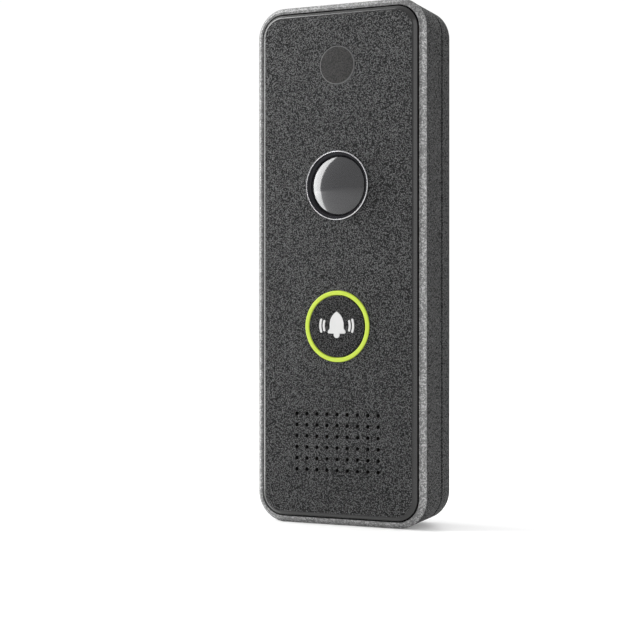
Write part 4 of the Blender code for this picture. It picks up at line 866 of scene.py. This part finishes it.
def make_trim_ring():
    """The ring round the dome: bright metal from its ridge outward, and inside, near-black metal that is
    painted shade on the slope that faces inward.
    """
    low, high = span("lens_trim_ring", "out")
    ridge = high - TRIM_RIDGE_LOWERED
    outer = half_size("lens_trim_ring")[0]
    seat = PANEL_FACE + CLOSE
    corners = [
        (TRIM_BORE_RADIUS, PANEL_FACE - TRIM_SINK, EDGE_CRISP),
        (TRIM_RIDGE_RADIUS - TRIM_RIDGE_WIDTH, ridge - TRIM_RIDGE_FALL, EDGE_THIN),
        (TRIM_RIDGE_RADIUS, ridge, EDGE_CRISP),
        (outer, ridge - TRIM_RIDGE_FALL, EDGE_THIN),
        (outer, seat, 0),
        (TRIM_COLLAR_RADIUS, seat, 0),
        (TRIM_COLLAR_RADIUS, low, 0),
        (TRIM_BORE_RADIUS, low, 0),
    ]
    obj = turned("trim_ring", corners, CAMERA_PLACE)
    piece(obj, "unit", [RING_BRIGHT, RING_PAINTED_SHADE], "trim_metal", "lens_trim_ring")
    ridge_start = TRIM_RIDGE_RADIUS - TRIM_RIDGE_WIDTH / 2
    for face in obj.data.polygons:
        centre = face.center
        reach = math.hypot(centre.x - CAMERA_PLACE[0], centre.z - CAMERA_PLACE[1])
        face.material_index = 0 if reach > ridge_start and -centre.y > seat else 1


def make_dome():
    radius = half_size("lens_dome")[0]
    low, top = span("lens_dome", "out")
    sphere = (radius**2 + DOME_RISE**2) / (2 * DOME_RISE)
    centre = top - sphere

    def cap(ball, reach):
        angles = [math.asin(reach / ball) * step / DOME_STEPS for step in range(DOME_STEPS + 1)]
        return [(ball * math.sin(a), centre + ball * math.cos(a), 0) for a in angles]

    outer = cap(sphere, radius)
    inner = cap(sphere - DOME_WALL, radius - DOME_WALL)
    corners = outer + [(radius, low, 0), (radius - DOME_WALL, low, 0)] + inner[::-1]
    obj = turned("dome_cover", corners, CAMERA_PLACE, closed=False)
    piece(obj, "unit", SMOKED, "smoked_glass", "lens_dome")


def make_sensor_window():
    radius = half_size("sensor_window")[0]
    low, high = span("sensor_window", "out")
    land = radius - WINDOW_CHAMFER
    corners = [
        (0, high, 0),
        (land, high, 0),
        (radius, high - WINDOW_CHAMFER / 3, 0),
        (radius, low, EDGE_FINE),
        (0, low, 0),
    ]
    obj = turned("window_disc", corners, WINDOW_PLACE, closed=False)
    even_shading(obj)
    piece(obj, "unit", [FILTER, WINDOW_RIM_HIGHLIGHT], "window_filter", "sensor_window")
    # Faces beyond the land take the lighter rim colour, a painted highlight.
    for face in obj.data.polygons:
        reach = math.hypot(face.center.x - WINDOW_PLACE[0], face.center.z - WINDOW_PLACE[1])
        face.material_index = 1 if reach > land else 0


def make_light_ring():
    low, top = span("light_ring", "out")
    flange_radius = half_size("light_ring")[0]
    flange_high = PANEL_BACK - CLOSE
    flange_low = flange_high - RING_FLANGE_THICKNESS
    corners = [
        (LIGHT_RING_INNER, top, EDGE_SOFT),
        (LIGHT_RING_OUTER, top, EDGE_ROUND),
        (LIGHT_RING_OUTER, flange_high, 0),
        (flange_radius, flange_high, EDGE_FINE),
        (flange_radius, flange_low, EDGE_FINE),
        (LIGHT_RING_OUTER, flange_low, 0),
        (LIGHT_RING_OUTER, low, 0),
        (LIGHT_RING_INNER, low, 0),
    ]
    obj = turned("glow_ring", corners, BUTTON_PLACE)
    piece(obj, "unit", LIME, "lime_guide", "light_ring")


def bell_outline():
    """A hand bell with its clapper, as one closed outline."""
    reach = BELL_TOP - BELL_SHOULDER
    offset = (reach**2 - BELL_HALF_WIDTH**2) / (2 * BELL_HALF_WIDTH)
    radius = BELL_HALF_WIDTH + offset
    dome = arc((-offset, BELL_SHOULDER), radius, math.asin(reach / radius), 0, BELL_STEPS)
    clapper_start = math.asin((BELL_BOTTOM - CLAPPER_UP) / CLAPPER_RADIUS)
    clapper = arc((0, CLAPPER_UP), CLAPPER_RADIUS, clapper_start, -math.pi / 2, STROKE_STEPS)
    skirt = [
        (BELL_HALF_WIDTH, BELL_WAIST, 0.3 * MM),
        (BELL_SKIRT_HALF_WIDTH - 0.15 * MM, BELL_WAIST - 0.55 * MM, 0.2 * MM),
        (BELL_SKIRT_HALF_WIDTH, BELL_BOTTOM + 0.3 * MM, 0.15 * MM),
        (BELL_SKIRT_HALF_WIDTH - 0.25 * MM, BELL_BOTTOM + 0.05 * MM, 0.1 * MM),
    ]
    ends = [(*dome[-2], 0), *skirt, (*clapper[0], 0)]
    right = dome[:-1] + filleted(ends, closed=False)[1:-1] + clapper
    left = [(-x, up) for x, up in right[-2:0:-1]]
    return right + left


def wave_outline(radius, side):
    """One curved stroke beside the bell, with round ends."""
    half = WAVE_STROKE / 2
    reach = WAVE_HALF_ANGLE - half * WAVE_END / radius
    outside = arc((0, WAVE_UP), radius + half, reach, -reach, STROKE_STEPS)
    inside = arc((0, WAVE_UP), radius - half, -reach, reach, STROKE_STEPS)
    ends = []
    for angle, turn in ((-reach, -1), (reach, 1)):
        centre = (radius * math.cos(angle), WAVE_UP + radius * math.sin(angle))
        start = angle if turn < 0 else angle + math.pi
        ends.append(arc(centre, half, start, start - math.pi, STROKE_END_STEPS)[1:-1])
    outline = outside + ends[0] + inside + ends[1]
    return [(side * x, up) for x, up in outline]


def bell_sign(name, low, high, grow):
    """The bell and its sound waves, as a solid from height low to high, made larger all round by grow."""
    curve = bpy.data.curves.new(name, "CURVE")
    curve.dimensions = "2D"
    curve.fill_mode = "BOTH"
    curve.extrude = (high - low) / 2
    curve.offset = grow
    loops = [bell_outline()]
    for radius in WAVE_RADII:
        for side in (-1, 1):
            loops.append(wave_outline(radius, side))
    for points in loops:
        spline = curve.splines.new("POLY")
        spline.points.add(len(points) - 1)
        spline.use_cyclic_u = True
        for spot, (x, up) in zip(spline.points, points):
            spot.co = (x, up, 0, 1)
    drawn = bpy.data.objects.new(name, curve)
    bpy.context.scene.collection.objects.link(drawn)
    graph = bpy.context.evaluated_depsgraph_get()
    mesh = bpy.data.meshes.new_from_object(drawn.evaluated_get(graph))
    bpy.data.objects.remove(drawn)
    centre = Vector(point(*BUTTON_PLACE, (low + high) / 2))
    mesh.transform(Matrix.Translation(centre) @ Matrix.Rotation(math.pi / 2, 4, "X"))
    bm = bmesh.new()
    bm.from_mesh(mesh)
    return finished(name, mesh_from(bm, name))


def make_button():
    """The cap, with the bell cut out of it, and the white plate whose raised bell fills the cutout."""
    radius = half_size("call_button")[0]
    low, top = span("call_button", "out")
    corners = [(0, top, 0), (radius, top, CAP_ROUNDING), (radius, low, EDGE_FINE), (0, low, 0)]
    cap = turned("button_cap", corners, BUTTON_PLACE, closed=False)
    cut(cap, bell_sign("bell_cutout", low - SEAM, top + SEAM, SIGN_GAP))
    even_shading(cap)
    piece(cap, "button", CAP_BLACK, "black_plastic", "call_button")

    carrier_radius = half_size("bell_insert")[0]
    stem_low = span("bell_insert", "out")[0]
    carrier_high = low - CLOSE
    carrier_low = carrier_high - CARRIER_THICKNESS
    corners = [
        (0, carrier_high, 0),
        (carrier_radius, carrier_high, EDGE_FINE),
        (carrier_radius, carrier_low, EDGE_FINE),
        (STEM_RADIUS, carrier_low, EDGE_ROUND),
        (STEM_RADIUS, stem_low, EDGE_ROUND),
        (0, stem_low, 0),
    ]
    plate = turned("bell_plate", corners, BUTTON_PLACE, closed=False)
    join(plate, bell_sign("bell_raised", carrier_low + SEAM, top, 0.0))
    even_shading(plate)
    piece(plate, "button", WHITE, "white_plastic", "bell_insert")


CARRIED_OVER = {
    "lock_screw": STEEL,
    "panel_adhesive": FOAM,
    "dome_gasket": RUBBER,
    "lens_holder": BLACK,
    "lens_barrel": BLACK,
    "front_lens": GLASS,
    "rear_lens": GLASS,
    "image_sensor": CHIP,
    "camera_board": BOARD,
    "camera_flex": FOIL,
    "night_light_board": BOARD,
    "light_sensor": CHIP,
    "main_board": BOARD,
    "switch_body": BLACK,
    "switch_plunger": WHITE,
    "button_seal": RUBBER,
    "speaker_mesh": CLOTH,
    "speaker_gasket": FOAM,
    "speaker_frame": BLACK,
    "speaker_yoke": STEEL,
    "speaker_magnet": STEEL,
    "speaker_lead": RUBBER,
    "speaker_cone": CONE_FILM,
    "voice_coil": COPPER,
    "microphone": CAN,
    "microphone_boot": RUBBER,
    "processor": CHIP,
    "memory_chip": CHIP,
    "radio_shield": CAN,
    "buffer_capacitor": CAN,
    "terminal_block": TERMINAL,
    "rear_cover": BLACK,
    "rear_gasket": RUBBER,
}


NUMBERED = (
    ("night_led", 4, GLASS),
    ("ring_led", 4, LED_WHITE),
    ("board_screw", 2, STEEL),
    ("terminal_screw", 2, STEEL),
    ("cover_screw", 4, STEEL),
)


def dress_cad_nodes():
    """Gives the CAD nodes that no piece replaces their materials."""
    looks = dict(CARRIED_OVER)
    for stem, count, look in NUMBERED:
        for number in range(1, count + 1):
            looks[f"{stem}_{number}"] = look
    for node, look in looks.items():
        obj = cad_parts[node]
        obj.data.materials.clear()
        obj.data.materials.append(look)


# ---------------------------------------------------------------- camera, floor and light

CAMERA_AT = (0.21275, -0.43350, -0.01189)
CAMERA_YAW = math.radians(27.98)
CAMERA_PITCH = math.radians(-0.14)
CAMERA_LENS = 100.08
CAMERA_CLIP = 0.01
FLOOR_RADIUS = 3.0

# The world's light rises from ROOM_LIGHT to BACKDROP_LIGHT towards BACKDROP_WAY
BACKDROP_WAY = (-0.75, 0.55, 0.05)
BACKDROP_RANGE = (-0.3, 0.7)
BACKDROP_LIGHT = 1.02
ROOM_LIGHT = 0.93

WHITE_LIGHT = (1.0, 1.0, 1.0, 1.0)
CARD_RISE = 2 * MM
CARD_REACH = (0.13, 1.05)
CARD_AZIMUTHS = (-60.5, -91.5)
CARD_STEPS = 8


def make_camera():
    camera = bpy.data.objects.new("camera", bpy.data.cameras.new("camera"))
    bpy.context.scene.collection.objects.link(camera)
    camera.data.lens = CAMERA_LENS
    camera.data.clip_start = CAMERA_CLIP
    camera.location = CAMERA_AT
    camera.rotation_euler = (math.pi / 2 + CAMERA_PITCH, 0, CAMERA_YAW)
    bpy.context.scene.camera = camera


def make_floor():
    bm = bmesh.new()
    bmesh.ops.create_circle(bm, cap_ends=True, segments=64, radius=FLOOR_RADIUS)
    mesh = bpy.data.meshes.new("floor")
    bm.to_mesh(mesh)
    bm.free()
    floor = bpy.data.objects.new("floor", mesh)
    floor.location.z = CAD_BOX[0].z
    bpy.context.scene.collection.objects.link(floor)
    look = Look("floor")
    look.drive("Base Color", look.blend(look.noise(0.08, detail=3.0), grey(0.8), grey(0.84)))
    look.drive("Roughness", look.spread(look.noise(0.03, detail=3.0), 0.3, 0.4))
    look.set(Emission_Color=WHITE_LIGHT, Emission_Strength=0.16)
    mesh.materials.append(look.material)


def soft_box(name, azimuth, elevation, distance, size, radiance):
    """A rectangular light that faces the object. Azimuth 0 is in front of it, and 90 is to the right
    as seen from there."""
    light = bpy.data.lights.new(name, "AREA")
    light.shape = "RECTANGLE"
    light.size, light.size_y = size
    light.energy = radiance * math.pi * size[0] * size[1]
    turn, rise = math.radians(azimuth), math.radians(elevation)
    back = Vector((math.sin(turn) * math.cos(rise), -math.cos(turn) * math.cos(rise), math.sin(rise)))
    obj = bpy.data.objects.new(name, light)
    obj.location = back * distance
    obj.rotation_euler = back.to_track_quat("Z", "Y").to_euler()
    obj.visible_camera = False
    bpy.context.scene.collection.objects.link(obj)


def make_low_card():
    """A glowing fan on the floor, which carries the left box's light on below the horizon."""
    bm = bmesh.new()
    rows = []
    for reach in CARD_REACH:
        row = []
        for step in range(CARD_STEPS + 1):
            share = (CARD_AZIMUTHS[1] - CARD_AZIMUTHS[0]) * step / CARD_STEPS
            turn = math.radians(CARD_AZIMUTHS[0] + share)
            row.append(bm.verts.new((reach * math.sin(turn), -reach * math.cos(turn), 0)))
        rows.append(row)
    for index in range(CARD_STEPS):
        bm.faces.new((rows[0][index], rows[0][index + 1], rows[1][index + 1], rows[1][index]))
    mesh = mesh_from(bm, "low_card")
    card = bpy.data.objects.new("low_card", mesh)
    card.location.z = CAD_BOX[0].z + CARD_RISE
    bpy.context.scene.collection.objects.link(card)
    look = Look("card")
    look.drive("Base Color", look.blend(look.noise(0.05), grey(0.7), grey(0.8)))
    look.drive("Emission Strength", look.spread(look.noise(0.2), 5.5, 6.5))
    look.set(Emission_Color=WHITE_LIGHT)
    mesh.materials.append(look.material)


def make_light():
    world = bpy.data.worlds.new("studio")
    world.use_nodes = True
    tree = world.node_tree
    background = tree.nodes["Background"]
    way = tree.nodes.new("ShaderNodeTexCoord").outputs["Generated"]
    towards = tree.nodes.new("ShaderNodeVectorMath")
    towards.operation = "DOT_PRODUCT"
    towards.inputs[1].default_value = BACKDROP_WAY
    tree.links.new(way, towards.inputs[0])
    level = tree.nodes.new("ShaderNodeMapRange")
    ends = (*BACKDROP_RANGE, ROOM_LIGHT, BACKDROP_LIGHT)
    for socket, value in zip(("From Min", "From Max", "To Min", "To Max"), ends):
        level.inputs[socket].default_value = value
    tree.links.new(towards.outputs["Value"], level.inputs["Value"])
    tree.links.new(level.outputs["Result"], background.inputs["Strength"])
    background.inputs["Color"].default_value = WHITE_LIGHT
    bpy.context.scene.world = world
    soft_box("left_box", azimuth=-76, elevation=24, distance=0.9, size=(0.5, 1.5), radiance=8.0)
    soft_box("right_box", azimuth=66, elevation=10, distance=1.0, size=(0.5, 1.0), radiance=1.3)
    bpy.context.scene.view_settings.view_transform = "Standard"


make_camera()
make_floor()
make_low_card()
make_light()
dress_cad_nodes()
make_bracket()
make_housing()
make_bezel()
make_panel()
make_trim_ring()
make_dome()
make_sensor_window()
make_light_ring()
make_button()
